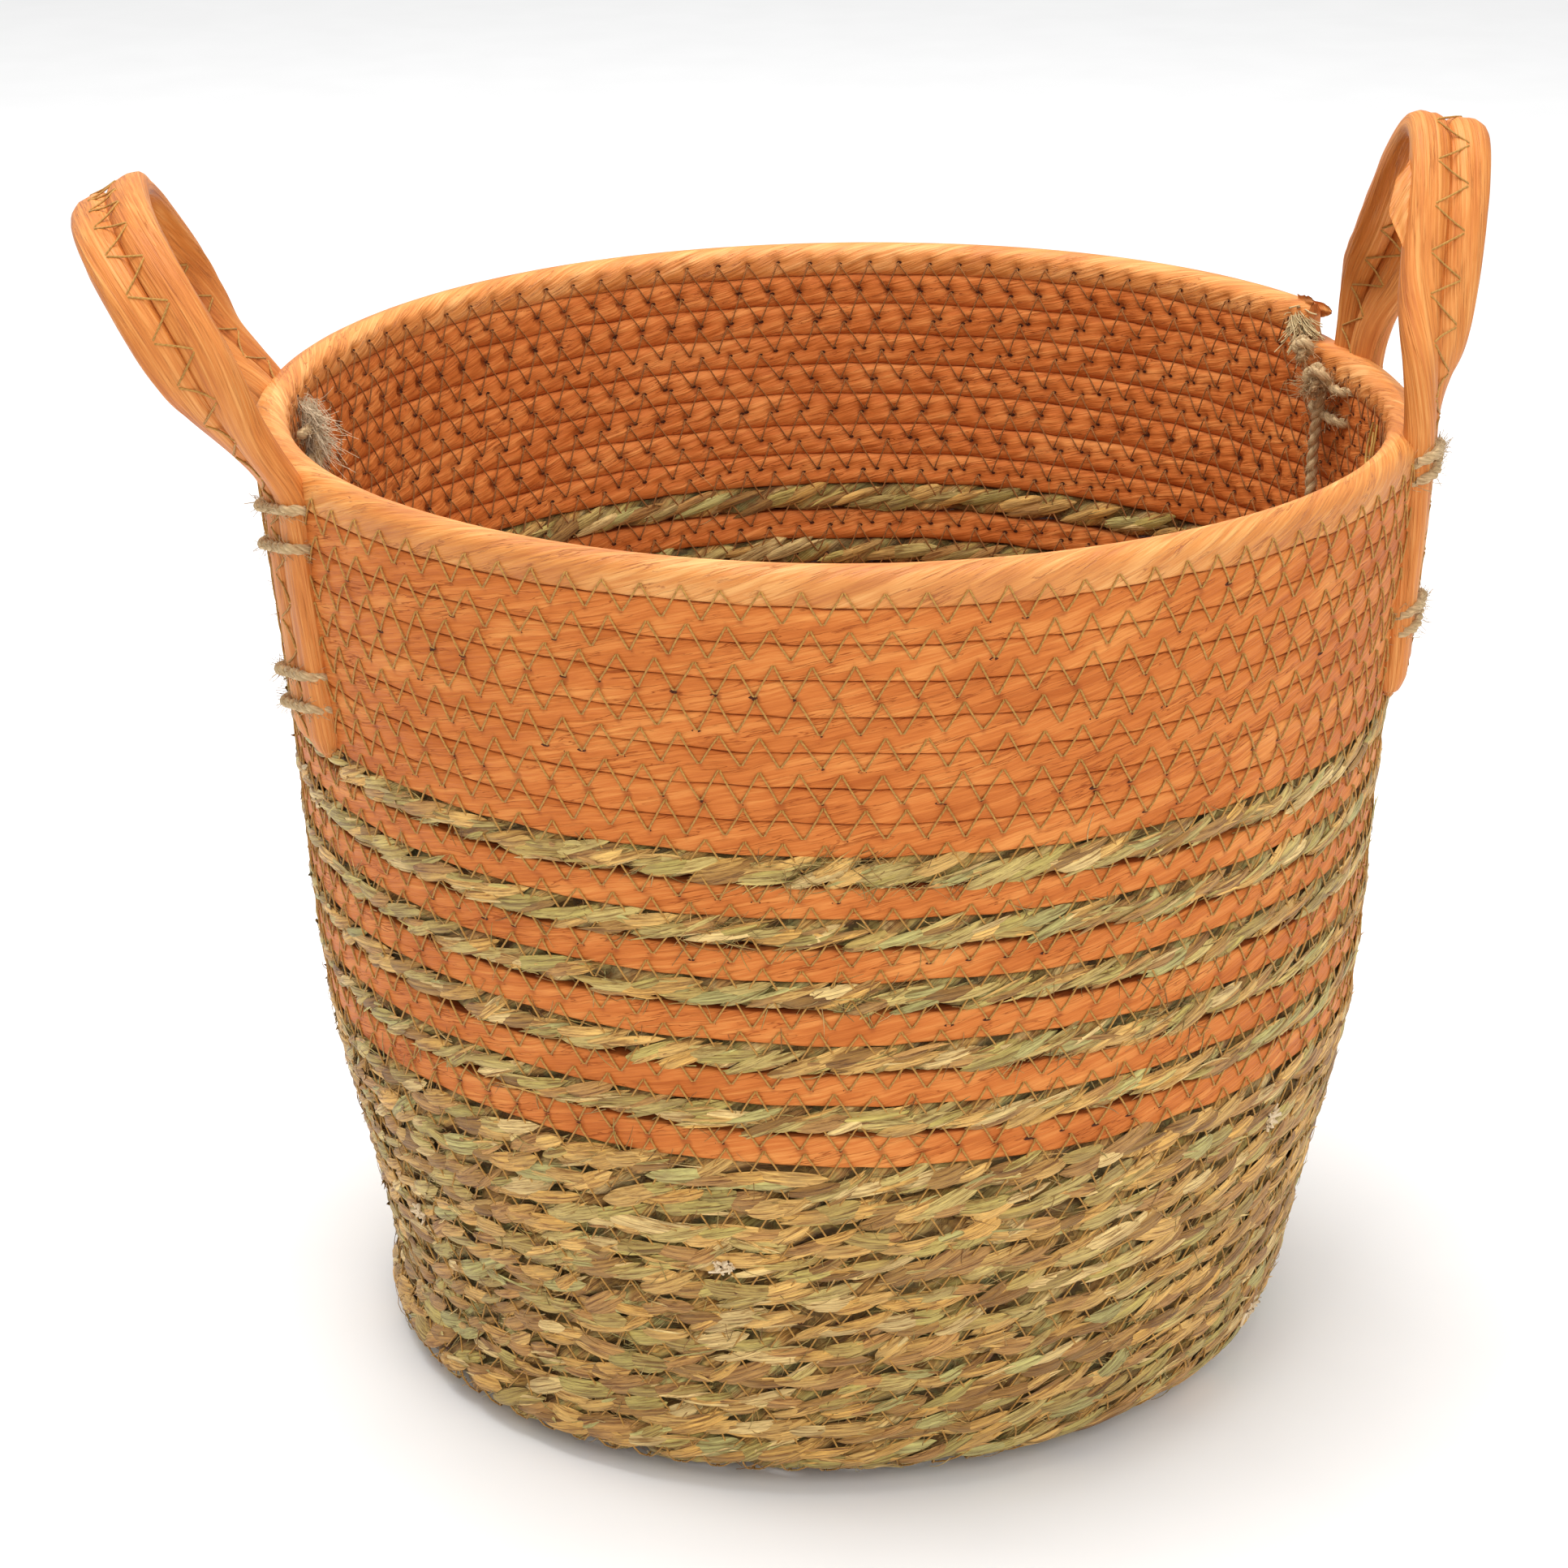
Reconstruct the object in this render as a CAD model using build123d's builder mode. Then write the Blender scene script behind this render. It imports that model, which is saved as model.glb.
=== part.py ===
from build123d import *
import math
import os

# A round market basket coiled from two kinds of rope, sewn turn to turn with zig-zag stitching.
# Twisted grass rope makes the base and lower wall. Rope wrapped in orange paper makes the upper wall
# and rim, and stripes of both lie between. Two handles, each a strap of two paper ropes sewn side by
# side, are lashed to the outside with twine and lean in and out above the rim.
# Origin: the middle of the base on the floor. +Z is up and +X runs towards the right handle.
# Every size is in millimetres and every angle in degrees.

# Basket form
rim_radius = 135.0
basket_height = 233.0
base_radius = 94.0
corner_bend_radius = 11.0
corner_turn = 77.0
low_wall_radius = 112.0
low_wall_height = 47.0
belly_radius = 119.4
belly_height = 83.0
shoulder_radius = 124.5
shoulder_height = 142.0

# Rope and stitching
rope_thickness = 8.0
groove_depth = 1.4
rim_rope_swell = 0.4
grass_pitch = 8.0
stripe_grass_pitch = 7.1
stripe_paper_pitch = 7.8
paper_pitch = 8.1
stripe_count = 5
upper_turns = 7
straw_core_radius = 2.9
thread_radius = 0.3
thread_lift = 0.55

# Cut end of the rope on the rim
rope_end_azimuth = 16.0
paper_end_gap = 7.0
straw_end_gap = 1.5

# Handles
handle_azimuths = {"right": -5.6, "left": 183.0}
handle_leans = {"right": 10.0, "left": 30.0}
handle_half_span = 37.5
handle_height = 55.5
handle_top_half_width = 31.0
handle_arch_radius = 27.0
handle_rope_diameter = 7.2
handle_rope_spacing = 8.0
handle_core_radius = 2.5
hinge_lift = 3.5
leg_clearance = 0.1
leg_length = 71.0
leg_taper_length = 8.0
leg_tip_radius = 2.1
leg_tip_stagger = 6.0
loop_start = 6.0
twist_end = 26.0
twist_steps = 3
twist_bend_radius = 12.0

# Twine lashings, with the depths of their wraps below the rim
twine_diameter = 3.2
twine_clearance = 0.1
twine_corner_radius = 3.0
wrap_depths = (11.0, 19.0, 48.0, 56.0)
knot_radius = 3.4

half_rope = rope_thickness / 2
groove_offset = half_rope - groove_depth
rim_rope_radius = (rope_thickness + rim_rope_swell) / 2
rim_seat = math.sqrt(rim_rope_radius**2 - groove_offset**2)
rim_centre = Vector(rim_radius - rim_rope_radius, basket_height - rim_rope_radius)
handle_rope_radius = handle_rope_diameter / 2
twine_radius = twine_diameter / 2
half_spacing = handle_rope_spacing / 2
os.makedirs("parts", exist_ok=True)


def save(part, name):
    """Label one finished piece and write it to its own file."""
    part.label = name
    export_step(part, "parts/" + name + ".step")


# The coil line runs through the middle of the rope wall, as radius and height: out along the base,
# round the corner and up the wall to the seat of the rim coil.
with BuildLine() as coil:
    base_run = Line((0, half_rope), (base_radius, half_rope))
    corner = JernArc(base_run @ 1, base_run % 1, corner_bend_radius, corner_turn)
    Spline(
        corner @ 1,
        (low_wall_radius, low_wall_height),
        (belly_radius, belly_height),
        (shoulder_radius, shoulder_height),
        (rim_centre.X, rim_centre.Y - rim_seat),
        tangents=(corner % 1, (0.03, 1)),
    )
coil_wire = coil.wires()[0]
coil_length = coil_wire.length


def wall_point(along, outward):
    """A point beside the coil line: along it from the centre, and outward from it."""
    place = coil_wire.position_at(along, position_mode=PositionMode.LENGTH)
    ahead = coil_wire.tangent_at(along, position_mode=PositionMode.LENGTH)
    return Vector(place.X + ahead.Y * outward, place.Y - ahead.X * outward)


# Edges between the turns, as lengths along the coil line
upper_edges = [coil_length - paper_pitch * turn for turn in range(upper_turns, -1, -1)]
stripe_edges = [upper_edges[0]]
for stripe in range(stripe_count):
    stripe_edges.insert(0, stripe_edges[0] - stripe_grass_pitch)
    stripe_edges.insert(0, stripe_edges[0] - stripe_paper_pitch)
grass_turns = round(stripe_edges[0] / grass_pitch)
grass_edges = [stripe_edges[0] * turn / grass_turns for turn in range(grass_turns + 1)]


def turn_side(start, end, outward):
    """The bulging side of one turn of rope, from one groove to the next."""
    side = 1 if outward > 0 else -1
    middle = (start + end) / 2
    ThreePointArc(
        wall_point(start, side * groove_offset),
        wall_point(middle, outward),
        wall_point(end, side * groove_offset),
    )


def base_underside(start, end):
    """The underside of one turn of the base, pressed flat where it rests on the floor."""
    inner_edge = wall_point(start, groove_offset) if start > 0 else Vector(0, 0)
    flat_start = start + groove_depth if start > 0 else groove_depth
    Polyline(inner_edge, (flat_start, 0), (end - groove_depth, 0), wall_point(end, groove_offset))


def rope_outline(edges):
    """The section of a run of turns sewn together, drawn as radius and height."""
    for start, end in zip(edges, edges[1:]):
        if end <= base_radius:
            base_underside(start, end)
        else:
            turn_side(start, end, half_rope)
        turn_side(start, end, -half_rope)
    Line(wall_point(edges[-1], groove_offset), wall_point(edges[-1], -groove_offset))
    first_outer = wall_point(edges[0], groove_offset) if edges[0] > 0 else Vector(0, 0)
    Line(first_outer, wall_point(edges[0], -groove_offset))


def core_centres(edges):
    """The middle of each turn of rope."""
    return [wall_point((start + end) / 2, 0) for start, end in zip(edges, edges[1:])]


def rope_rings(edges, core_radius=0.0):
    """Rope laid round the basket between the given edges, hollow where it has a straw core."""
    with BuildPart() as rings:
        with BuildSketch(Plane.XZ):
            with BuildLine():
                rope_outline(edges)
            make_face()
            if core_radius > 0:
                with Locations(*core_centres(edges)):
                    Circle(core_radius, mode=Mode.SUBTRACT)
        revolve(axis=Axis.Z)
    return rings.part


def core_rings(edges):
    """The straw core inside each turn of paper rope."""
    with BuildPart() as cores:
        with BuildSketch(Plane.XZ):
            with Locations(*core_centres(edges)):
                Circle(straw_core_radius)
        revolve(axis=Axis.Z)
    return cores.part


# Base and lower wall: one continuous grass rope
save(rope_rings(grass_edges), "grass_base_and_wall_rope")

# Five paper stripes, each below a grass stripe, numbered from the rim down
for number in range(stripe_count):
    top = len(stripe_edges) - 1 - 2 * number
    grass_turn = [stripe_edges[top - 1], stripe_edges[top]]
    paper_turn = [stripe_edges[top - 2], stripe_edges[top - 1]]
    label = str(number + 1)
    save(rope_rings(grass_turn), "grass_stripe_rope_" + label)
    save(rope_rings(paper_turn, straw_core_radius), "orange_stripe_wrap_" + label)
    save(core_rings(paper_turn), "orange_stripe_core_" + label)

# Upper wall: one continuous rope of paper wrapped round a straw core
save(rope_rings(upper_edges, straw_core_radius), "upper_rope_wrap")
save(core_rings(upper_edges), "upper_rope_core")


def azimuth_plane(azimuth):
    """An upright plane through the basket's axis, its x direction pointing out at the azimuth."""
    turn = math.radians(azimuth)
    return Plane(
        origin=(0, 0, 0),
        x_dir=(math.cos(turn), math.sin(turn), 0),
        z_dir=(math.sin(turn), -math.cos(turn), 0),
    )


# Rim: the rope's last turn, which stops short of a full circle and shows its straw core
with BuildPart() as rim_wrap:
    with BuildSketch(azimuth_plane(rope_end_azimuth)):
        with BuildLine():
            seat_outer = wall_point(coil_length, groove_offset)
            seat_inner = wall_point(coil_length, -groove_offset)
            ThreePointArc(seat_outer, (rim_centre.X, basket_height), seat_inner)
            Line(seat_inner, seat_outer)
        make_face()
        with Locations(rim_centre):
            Circle(straw_core_radius, mode=Mode.SUBTRACT)
    revolve(axis=Axis.Z, revolution_arc=360 - paper_end_gap)
save(rim_wrap.part, "rim_rope_wrap")

with BuildPart() as rim_core:
    with BuildSketch(azimuth_plane(rope_end_azimuth - paper_end_gap + straw_end_gap)):
        with Locations(rim_centre):
            Circle(straw_core_radius)
    revolve(axis=Axis.Z, revolution_arc=360 - straw_end_gap)
save(rim_core.part, "rim_rope_core")

# Stitching: one row of thread in every groove, inside and out, shown as plain four-sided rings
with BuildPart() as stitching:
    with BuildSketch(Plane.XZ):
        all_edges = grass_edges[1:] + stripe_edges[1:] + upper_edges[1:-1]
        row_offset = groove_offset + thread_lift
        inside_rows = [wall_point(edge, -row_offset) for edge in all_edges]
        outside_rows = [wall_point(edge, row_offset) for edge in all_edges if edge > base_radius]
        with Locations(*inside_rows, *outside_rows):
            RegularPolygon(radius=thread_radius, side_count=4)
    revolve(axis=Axis.Z)
save(stitching.part, "zigzag_stitching")

# The handle legs lie straight down the outside of the wall, touching it at the rim and near their tips.
hinge_height = basket_height + hinge_lift
leg_stand_off = leg_clearance + handle_rope_radius
tip_height = hinge_height - leg_length


def wall_radius(height):
    """The wall's outer radius at a height, by halving the coil line's wall stretch."""
    low = base_radius
    high = coil_length
    while high - low > 0.01:
        middle = (low + high) / 2
        if wall_point(middle, half_rope).Y < height:
            low = middle
        else:
            high = middle
    return wall_point(low, half_rope).X


leg_slope = (rim_radius - wall_radius(tip_height)) / (rim_centre.Y - tip_height)


def rim_to_tip_line(height):
    """The radius at a height of a straight line from the rim to the wall beside the leg tips."""
    return rim_radius + leg_slope * (height - rim_centre.Y)


# The wall swells a little past that straight line, and the legs clear the swell
leg_samples = [tip_height + (rim_centre.Y - tip_height) * step / 24 for step in range(25)]
wall_swell = max(wall_radius(height) - rim_to_tip_line(height) for height in leg_samples)


def leg_radius(height):
    """How far the leg's middle line stands from the basket's axis at a height."""
    return rim_to_tip_line(height) + wall_swell + leg_stand_off


hinge_radius = leg_radius(hinge_height)
leg_angle = math.degrees(math.asin(handle_half_span / hinge_radius))
hinge_reach = hinge_radius * math.cos(math.radians(leg_angle))


def tangent_at(azimuth):
    """The direction round the basket at an azimuth, seen from above turning left."""
    turn = math.radians(azimuth)
    return Vector(-math.sin(turn), math.cos(turn), 0)


def outward_at(azimuth):
    """The direction straight out from the basket's axis at an azimuth."""
    turn = math.radians(azimuth)
    return Vector(math.cos(turn), math.sin(turn), 0)


def leg_plane(azimuth, height):
    """A plane across a leg at a height, its x direction round the basket and z direction down."""
    place = outward_at(azimuth) * leg_radius(height) + Vector(0, 0, height)
    down = outward_at(azimuth) * -leg_slope - Vector(0, 0, 1)
    return Plane(origin=place, x_dir=tangent_at(azimuth), z_dir=down)


def leg_lengths():
    """The straight length of each of a leg's two ropes, with the length of its tapered tip left off."""
    full = leg_length * math.sqrt(1 + leg_slope**2) - leg_taper_length
    return ((-half_spacing, full), (half_spacing, full - leg_tip_stagger))


def leg_wraps(azimuth):
    """The paper wraps of a leg's two ropes, round at the top and tapered at the tip."""
    with BuildPart(leg_plane(azimuth, hinge_height)) as wraps:
        for offset, length in leg_lengths():
            with Locations((offset, 0, 0)):
                Sphere(handle_rope_radius)
                Cylinder(handle_rope_radius, length, align=(Align.CENTER, Align.CENTER, Align.MIN))
            with Locations((offset, 0, length)):
                Cone(
                    handle_rope_radius,
                    leg_tip_radius,
                    leg_taper_length,
                    align=(Align.CENTER, Align.CENTER, Align.MIN),
                )
        for offset, length in leg_lengths():
            with Locations((offset, 0, 0)):
                Cylinder(
                    handle_core_radius,
                    length,
                    align=(Align.CENTER, Align.CENTER, Align.MIN),
                    mode=Mode.SUBTRACT,
                )
    return wraps.part


def leg_cores(azimuth):
    """The straw cores of a leg's two ropes."""
    with BuildPart(leg_plane(azimuth, hinge_height)) as cores:
        for offset, length in leg_lengths():
            with Locations((offset, 0, 0)):
                Cylinder(handle_core_radius, length, align=(Align.CENTER, Align.CENTER, Align.MIN))
    return cores.part


def leg_seam(azimuth):
    """The thread that sews a leg's two ropes together, shown as a plain line between them."""
    seam_length = leg_lengths()[1][1]
    with BuildPart(leg_plane(azimuth, hinge_height)) as seam:
        Cylinder(thread_radius, seam_length, align=(Align.CENTER, Align.CENTER, Align.MIN))
    return seam.part


def leg_lashing(azimuth):
    """One length of twine: two wraps high and two low on the leg, joined by a run inside the wall."""
    half_width = half_spacing + handle_rope_radius + twine_radius + twine_clearance
    outer_reach = handle_rope_radius + twine_radius + twine_clearance
    inner_set_back = rope_thickness + twine_radius + twine_clearance
    heights = [basket_height - depth for depth in wrap_depths]
    with BuildPart() as lashing:
        for height in heights:
            middle = outward_at(azimuth) * leg_radius(height) + Vector(0, 0, height)
            aside = tangent_at(azimuth) * half_width
            outer = middle + outward_at(azimuth) * outer_reach
            inner = outward_at(azimuth) * (wall_radius(height) - inner_set_back) + Vector(0, 0, height)
            with BuildLine() as wrap_path:
                FilletPolyline(
                    outer - aside,
                    outer + aside,
                    inner + aside,
                    inner - aside,
                    radius=twine_corner_radius,
                    close=True,
                )
            with BuildSketch(Plane(origin=wrap_path.line @ 0, z_dir=wrap_path.line % 0)):
                Circle(twine_radius)
            sweep(path=wrap_path.line)
        run_ends = []
        for height in (heights[0], heights[-1]):
            run_radius = wall_radius(height) - inner_set_back
            run_ends.append(outward_at(azimuth) * run_radius + Vector(0, 0, height))
        run_top, run_foot = run_ends
        with BuildSketch(Plane(origin=run_top, z_dir=run_foot - run_top)):
            Circle(twine_radius)
        extrude(amount=(run_foot - run_top).length)
        with Locations(run_top):
            Sphere(knot_radius)
    return lashing.part


def hinge_point(side, across, out, up):
    """A point on a handle, measured from the middle of its hinge line and turned by its lean."""
    azimuth = handle_azimuths[side]
    lean = math.radians(handle_leans[side])
    reach = hinge_reach + out * math.cos(lean) + up * math.sin(lean)
    rise = up * math.cos(lean) - out * math.sin(lean)
    return outward_at(azimuth) * reach + tangent_at(azimuth) * across + Vector(0, 0, hinge_height + rise)


def loop_points(side, offset, steps):
    """Corners of one handle rope's path, from its left foot over the arch to its right foot.

    The two ropes lie side by side round the basket at the feet. They twist a quarter turn as they
    rise, so that in the arch one lies outside the other. A negative offset is the inner rope.
    """
    foot = []
    for step in range(steps + 1):
        share = step / steps
        angle = math.radians(-leg_angle - share * (90 - leg_angle))
        middle = handle_half_span - share * (handle_half_span - handle_top_half_width) / 2
        across = middle - offset * math.cos(angle)
        out = -offset * math.sin(angle)
        foot.append((across, out, loop_start + share * (twist_end - loop_start)))
    top = (handle_top_half_width, offset, handle_height)
    half = foot + [top]
    mirrored = [(-across, out, up) for across, out, up in reversed(half)]
    return [hinge_point(side, *corner_point) for corner_point in half + mirrored]


def loop_tube(side, offset, radius, bore=0.0):
    """A round tube along one handle rope, or the seam at no offset, hollow if a bore is given."""
    steps = twist_steps if offset else 1
    corners = loop_points(side, offset, steps)
    bends = [twist_bend_radius] * steps + [handle_arch_radius]
    with BuildPart() as tube:
        with BuildLine() as path:
            FilletPolyline(*corners, radius=bends + bends[::-1])
        with BuildSketch(Plane(origin=path.line @ 0, z_dir=path.line % 0)):
            Circle(radius)
            if bore > 0:
                Circle(bore, mode=Mode.SUBTRACT)
        sweep(path=path.line)
    return tube.part


for side, azimuth in handle_azimuths.items():
    turned = leg_angle if side == "right" else -leg_angle
    leg_azimuths = {"front": azimuth - turned, "rear": azimuth + turned}
    for end, leg_azimuth in leg_azimuths.items():
        leg_name = side + "_" + end + "_leg_"
        save(leg_wraps(leg_azimuth), leg_name + "wraps")
        save(leg_cores(leg_azimuth), leg_name + "cores")
        save(leg_seam(leg_azimuth), leg_name + "seam")
        save(leg_lashing(leg_azimuth), side + "_" + end + "_twine_lashing")
    for place, offset in (("inner", -half_spacing), ("outer", half_spacing)):
        loop_name = side + "_loop_" + place + "_rope_"
        save(loop_tube(side, offset, handle_rope_radius, handle_core_radius), loop_name + "wrap")
        save(loop_tube(side, offset, handle_core_radius), loop_name + "core")
    save(loop_tube(side, 0.0, thread_radius), side + "_loop_seam")

print("grass turns", grass_turns, "coil length", round(coil_length, 2))
print("hinge reach", round(hinge_reach, 3), "height", hinge_height, "leg angle", round(leg_angle, 3))
print("wall swell", round(wall_swell, 3))
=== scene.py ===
import math

import bpy
import numpy as np
from mathutils import Matrix, Vector


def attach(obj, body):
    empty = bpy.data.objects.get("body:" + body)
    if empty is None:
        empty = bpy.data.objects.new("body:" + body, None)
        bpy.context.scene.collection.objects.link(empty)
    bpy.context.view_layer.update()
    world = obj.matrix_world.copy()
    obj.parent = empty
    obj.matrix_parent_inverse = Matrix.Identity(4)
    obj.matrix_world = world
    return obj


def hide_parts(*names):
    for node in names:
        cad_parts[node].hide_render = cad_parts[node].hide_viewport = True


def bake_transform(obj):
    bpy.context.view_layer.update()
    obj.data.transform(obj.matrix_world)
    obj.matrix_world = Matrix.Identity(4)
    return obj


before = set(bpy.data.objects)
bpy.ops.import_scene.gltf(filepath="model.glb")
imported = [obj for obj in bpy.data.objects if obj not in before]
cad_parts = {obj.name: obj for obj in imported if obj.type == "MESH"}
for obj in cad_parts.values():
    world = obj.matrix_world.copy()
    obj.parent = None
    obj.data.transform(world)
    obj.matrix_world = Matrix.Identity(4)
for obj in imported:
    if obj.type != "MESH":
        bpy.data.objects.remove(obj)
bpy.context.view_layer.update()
rng = np.random.default_rng(11)
TAU = 2 * math.pi
UP = np.array([0, 0, 1.0])

# ---- sizes, in mm and turns of the coil
RIM_R, HEIGHT, BASE_R = 135.0, 233.0, 94.0
HALF = 4.0                      # half the rope's thickness
RIM_HALF, RIM_SEAT = 4.2, 3.3   # the same for the rim's rope, and how far it sinks onto the rope below
CORNER_R, CORNER_DEG = 11, 77   # bend of the middle line from base to wall
TURNS, GRASS_TURNS, END_TURN = 42.0, 24, 41.995
UPPER = 34                      # first turn of the plain paper wall
STRIPES = 5                     # of each kind
PAPER_PITCH, STRIPE_PAPER_PITCH, STRIPE_GRASS_PITCH, LAST_PITCH = 8.1, 7.8, 7.1, 7.5
END_DEG = 16                    # azimuth of the rope's cut end
END_AZ = math.radians(END_DEG)
# one turn of rope in mm: for skewed stitches, splices, the lower wall and the cut end
STITCH_TURN, SPLICE_TURN, LOW_TURN, CUT_TURN = TAU * 128, TAU * 125, TAU * 110, TAU * 131


def azimuth(turn):
    """Azimuth of a place on the coil, which winds clockwise going up, seen from above."""
    return END_AZ + TAU * (TURNS - turn)


def ease(x):
    """Smooth step from 0 to 1."""
    return x * x * (3 - 2 * x)


def arc(lines):
    """Length along a line of points, or along each of many, from its first one."""
    steps = np.linalg.norm(np.diff(lines, axis=-2), axis=-1)
    return np.insert(np.cumsum(steps, -1), 0, 0.0, axis=-1)


def pick(at, run, values):
    """The x, y and z values at given lengths along a line."""
    return np.stack([np.interp(at, run, values[:, k]) for k in range(3)], 1)


def soften(line, rounds):
    """Evens out a line's corners in place."""
    for _ in range(rounds):
        line[1:-1] = line[1:-1] * 0.5 + (line[:-2] + line[2:]) * 0.25


def clamped_spline(points, first, last, steps=60):
    """A smooth curve through points with given end directions."""
    p = np.array(points, float)
    h = np.linalg.norm(np.diff(p, axis=0), axis=1)
    n = len(p)
    a, b = np.zeros((n, n)), np.zeros((n, 2))
    a[0, 0] = a[-1, -1] = 1
    b[0], b[-1] = first, last
    for i in range(1, n - 1):
        a[i, i - 1], a[i, i], a[i, i + 1] = h[i], 2 * (h[i - 1] + h[i]), h[i - 1]
        b[i] = 3 * (h[i] * (p[i] - p[i - 1]) / h[i - 1] + h[i - 1] * (p[i + 1] - p[i]) / h[i])
    m = np.linalg.solve(a, b)
    out = []
    for i in range(n - 1):
        t = np.linspace(0, 1, steps, endpoint=False)[:, None]
        out.append((2 * t**3 - 3 * t**2 + 1) * p[i] + (t**3 - 2 * t**2 + t) * h[i] * m[i]
                   + (-2 * t**3 + 3 * t**2) * p[i + 1] + (t**3 - t**2) * h[i] * m[i + 1])
    out.append(p[-1:])
    return np.vstack(out)


def coil_profile():
    """The middle line of the rope wall as radius and height: base, corner, wall and rim."""
    turn = np.radians(np.linspace(-90, CORNER_DEG - 90, 20))
    corner = np.stack([BASE_R + CORNER_R * np.cos(turn), HALF + CORNER_R + CORNER_R * np.sin(turn)], 1)
    base = np.stack([np.linspace(0, BASE_R, 30)[:-1], np.full(29, HALF)], 1)
    ahead = np.array([math.cos(math.radians(CORNER_DEG)), math.sin(math.radians(CORNER_DEG))])
    seat = (RIM_R - RIM_HALF, HEIGHT - RIM_HALF - RIM_SEAT)
    top = np.array([0.03, 1.0]) / math.hypot(0.03, 1)
    wall = clamped_spline([corner[-1], (112, 47), (119.4, 83), (124.5, 142), seat], ahead, top)
    above = wall[-1] + top * np.array([[4.0], [9.0], [16.0]])
    line = np.vstack([base, corner[:-1], wall, above])
    length = arc(line)
    return line, length, length[len(line) - 4]


LINE, LENGTH, COIL_END = coil_profile()
edges = [COIL_END - PAPER_PITCH * k for k in range(7, -1, -1)]
for k in range(STRIPES):
    edges.insert(0, edges[0] - STRIPE_GRASS_PITCH)
    edges.insert(0, edges[0] - STRIPE_PAPER_PITCH)
EDGES = np.array([edges[0] * k / GRASS_TURNS for k in range(GRASS_TURNS)] + edges + [COIL_END + LAST_PITCH])


def edge(turn):
    """Length along the wall's middle line at a turn of the coil, carried on past both ends."""
    turn = np.asarray(turn, float)
    s = np.interp(turn, np.arange(len(EDGES)), EDGES)
    return np.maximum(s + np.maximum(turn - TURNS, 0) * LAST_PITCH, 0)


def wall(s, out):
    """Radius and height of a place on the wall: length along the middle line, and outward from it."""
    r, z = np.interp(s, LENGTH, LINE[:, 0]), np.interp(s, LENGTH, LINE[:, 1])
    e = 0.6
    tr = np.interp(s + e, LENGTH, LINE[:, 0]) - np.interp(s - e, LENGTH, LINE[:, 0])
    tz = np.interp(s + e, LENGTH, LINE[:, 1]) - np.interp(s - e, LENGTH, LINE[:, 1])
    n = np.maximum(np.hypot(tr, tz), 1e-9)
    return r + out * tz / n, z - out * tr / n


def noise(x, seed):
    """Smooth random values from -1 to 1 along a line."""
    table = np.random.default_rng(seed).uniform(-1, 1, 4096)
    i = np.floor(x).astype(int)
    f = ease(x - i)
    return table[i % 4096] * (1 - f) + table[(i + 1) % 4096] * f


def uneven(az, s):
    """The wall's slow unevenness, out and in."""
    return (0.55 * np.sin(2 * az + 0.6) * np.clip((s - 120) / 150, 0, 1)
            + 0.35 * np.sin(5 * az + s * 0.05) * np.clip((s - 100) / 60, 0, 1))


def place(turn, s, out):
    """A point in space on the coil at a turn, a length up the wall and a distance outward."""
    az = azimuth(turn)
    r, z = wall(s, out + uneven(az, s))
    r = r * (1 + 0.018 * np.exp(-((z - 5) / 9) ** 2) * np.abs(np.cos(az)))
    z = z + 2.0 * np.clip(-np.sin(az), 0, 1) ** 2 * np.clip(r / 60 - 0.6, 0, 1) * np.exp(-(z / 22) ** 2)
    sag = -6.6 * np.clip(1 - z / 20, 0, 1) ** 1.3
    return np.stack([r * np.cos(az) + sag, r * np.sin(az), np.broadcast_to(z, r.shape)], -1)


def turn_samples(start, end, step):
    """Turns from start to end spaced evenly along the rope."""
    fine = np.arange(start, end, 0.002)
    fine = np.append(fine, end)
    r = wall(edge(fine), 0)[0]
    run = np.concatenate([[0], np.cumsum(TAU * 0.5 * (r[1:] + r[:-1]) * np.diff(fine))])
    n = max(2, int(run[-1] / step))
    return np.interp(np.linspace(0, run[-1], n + 1), run, fine)


FINE = np.linspace(0, 43, 43001)
RUN = np.concatenate([[0], np.cumsum(TAU * 0.001 * wall(edge(FINE[1:]), 0)[0])])


def run_at(turn):
    """Length of rope from the middle of the base to a turn, in mm."""
    return np.interp(turn, FINE, RUN)


def groove(turn):
    """Wavy line between the rope at a turn and the next turn above it."""
    u = run_at(turn)
    soft = np.clip((turn - 1) / 2, 0, 1)
    return edge(turn + 0.5) + soft * (0.28 * noise(u / 11, 3) + 0.16 * noise(u / 4.3, 4))


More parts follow.
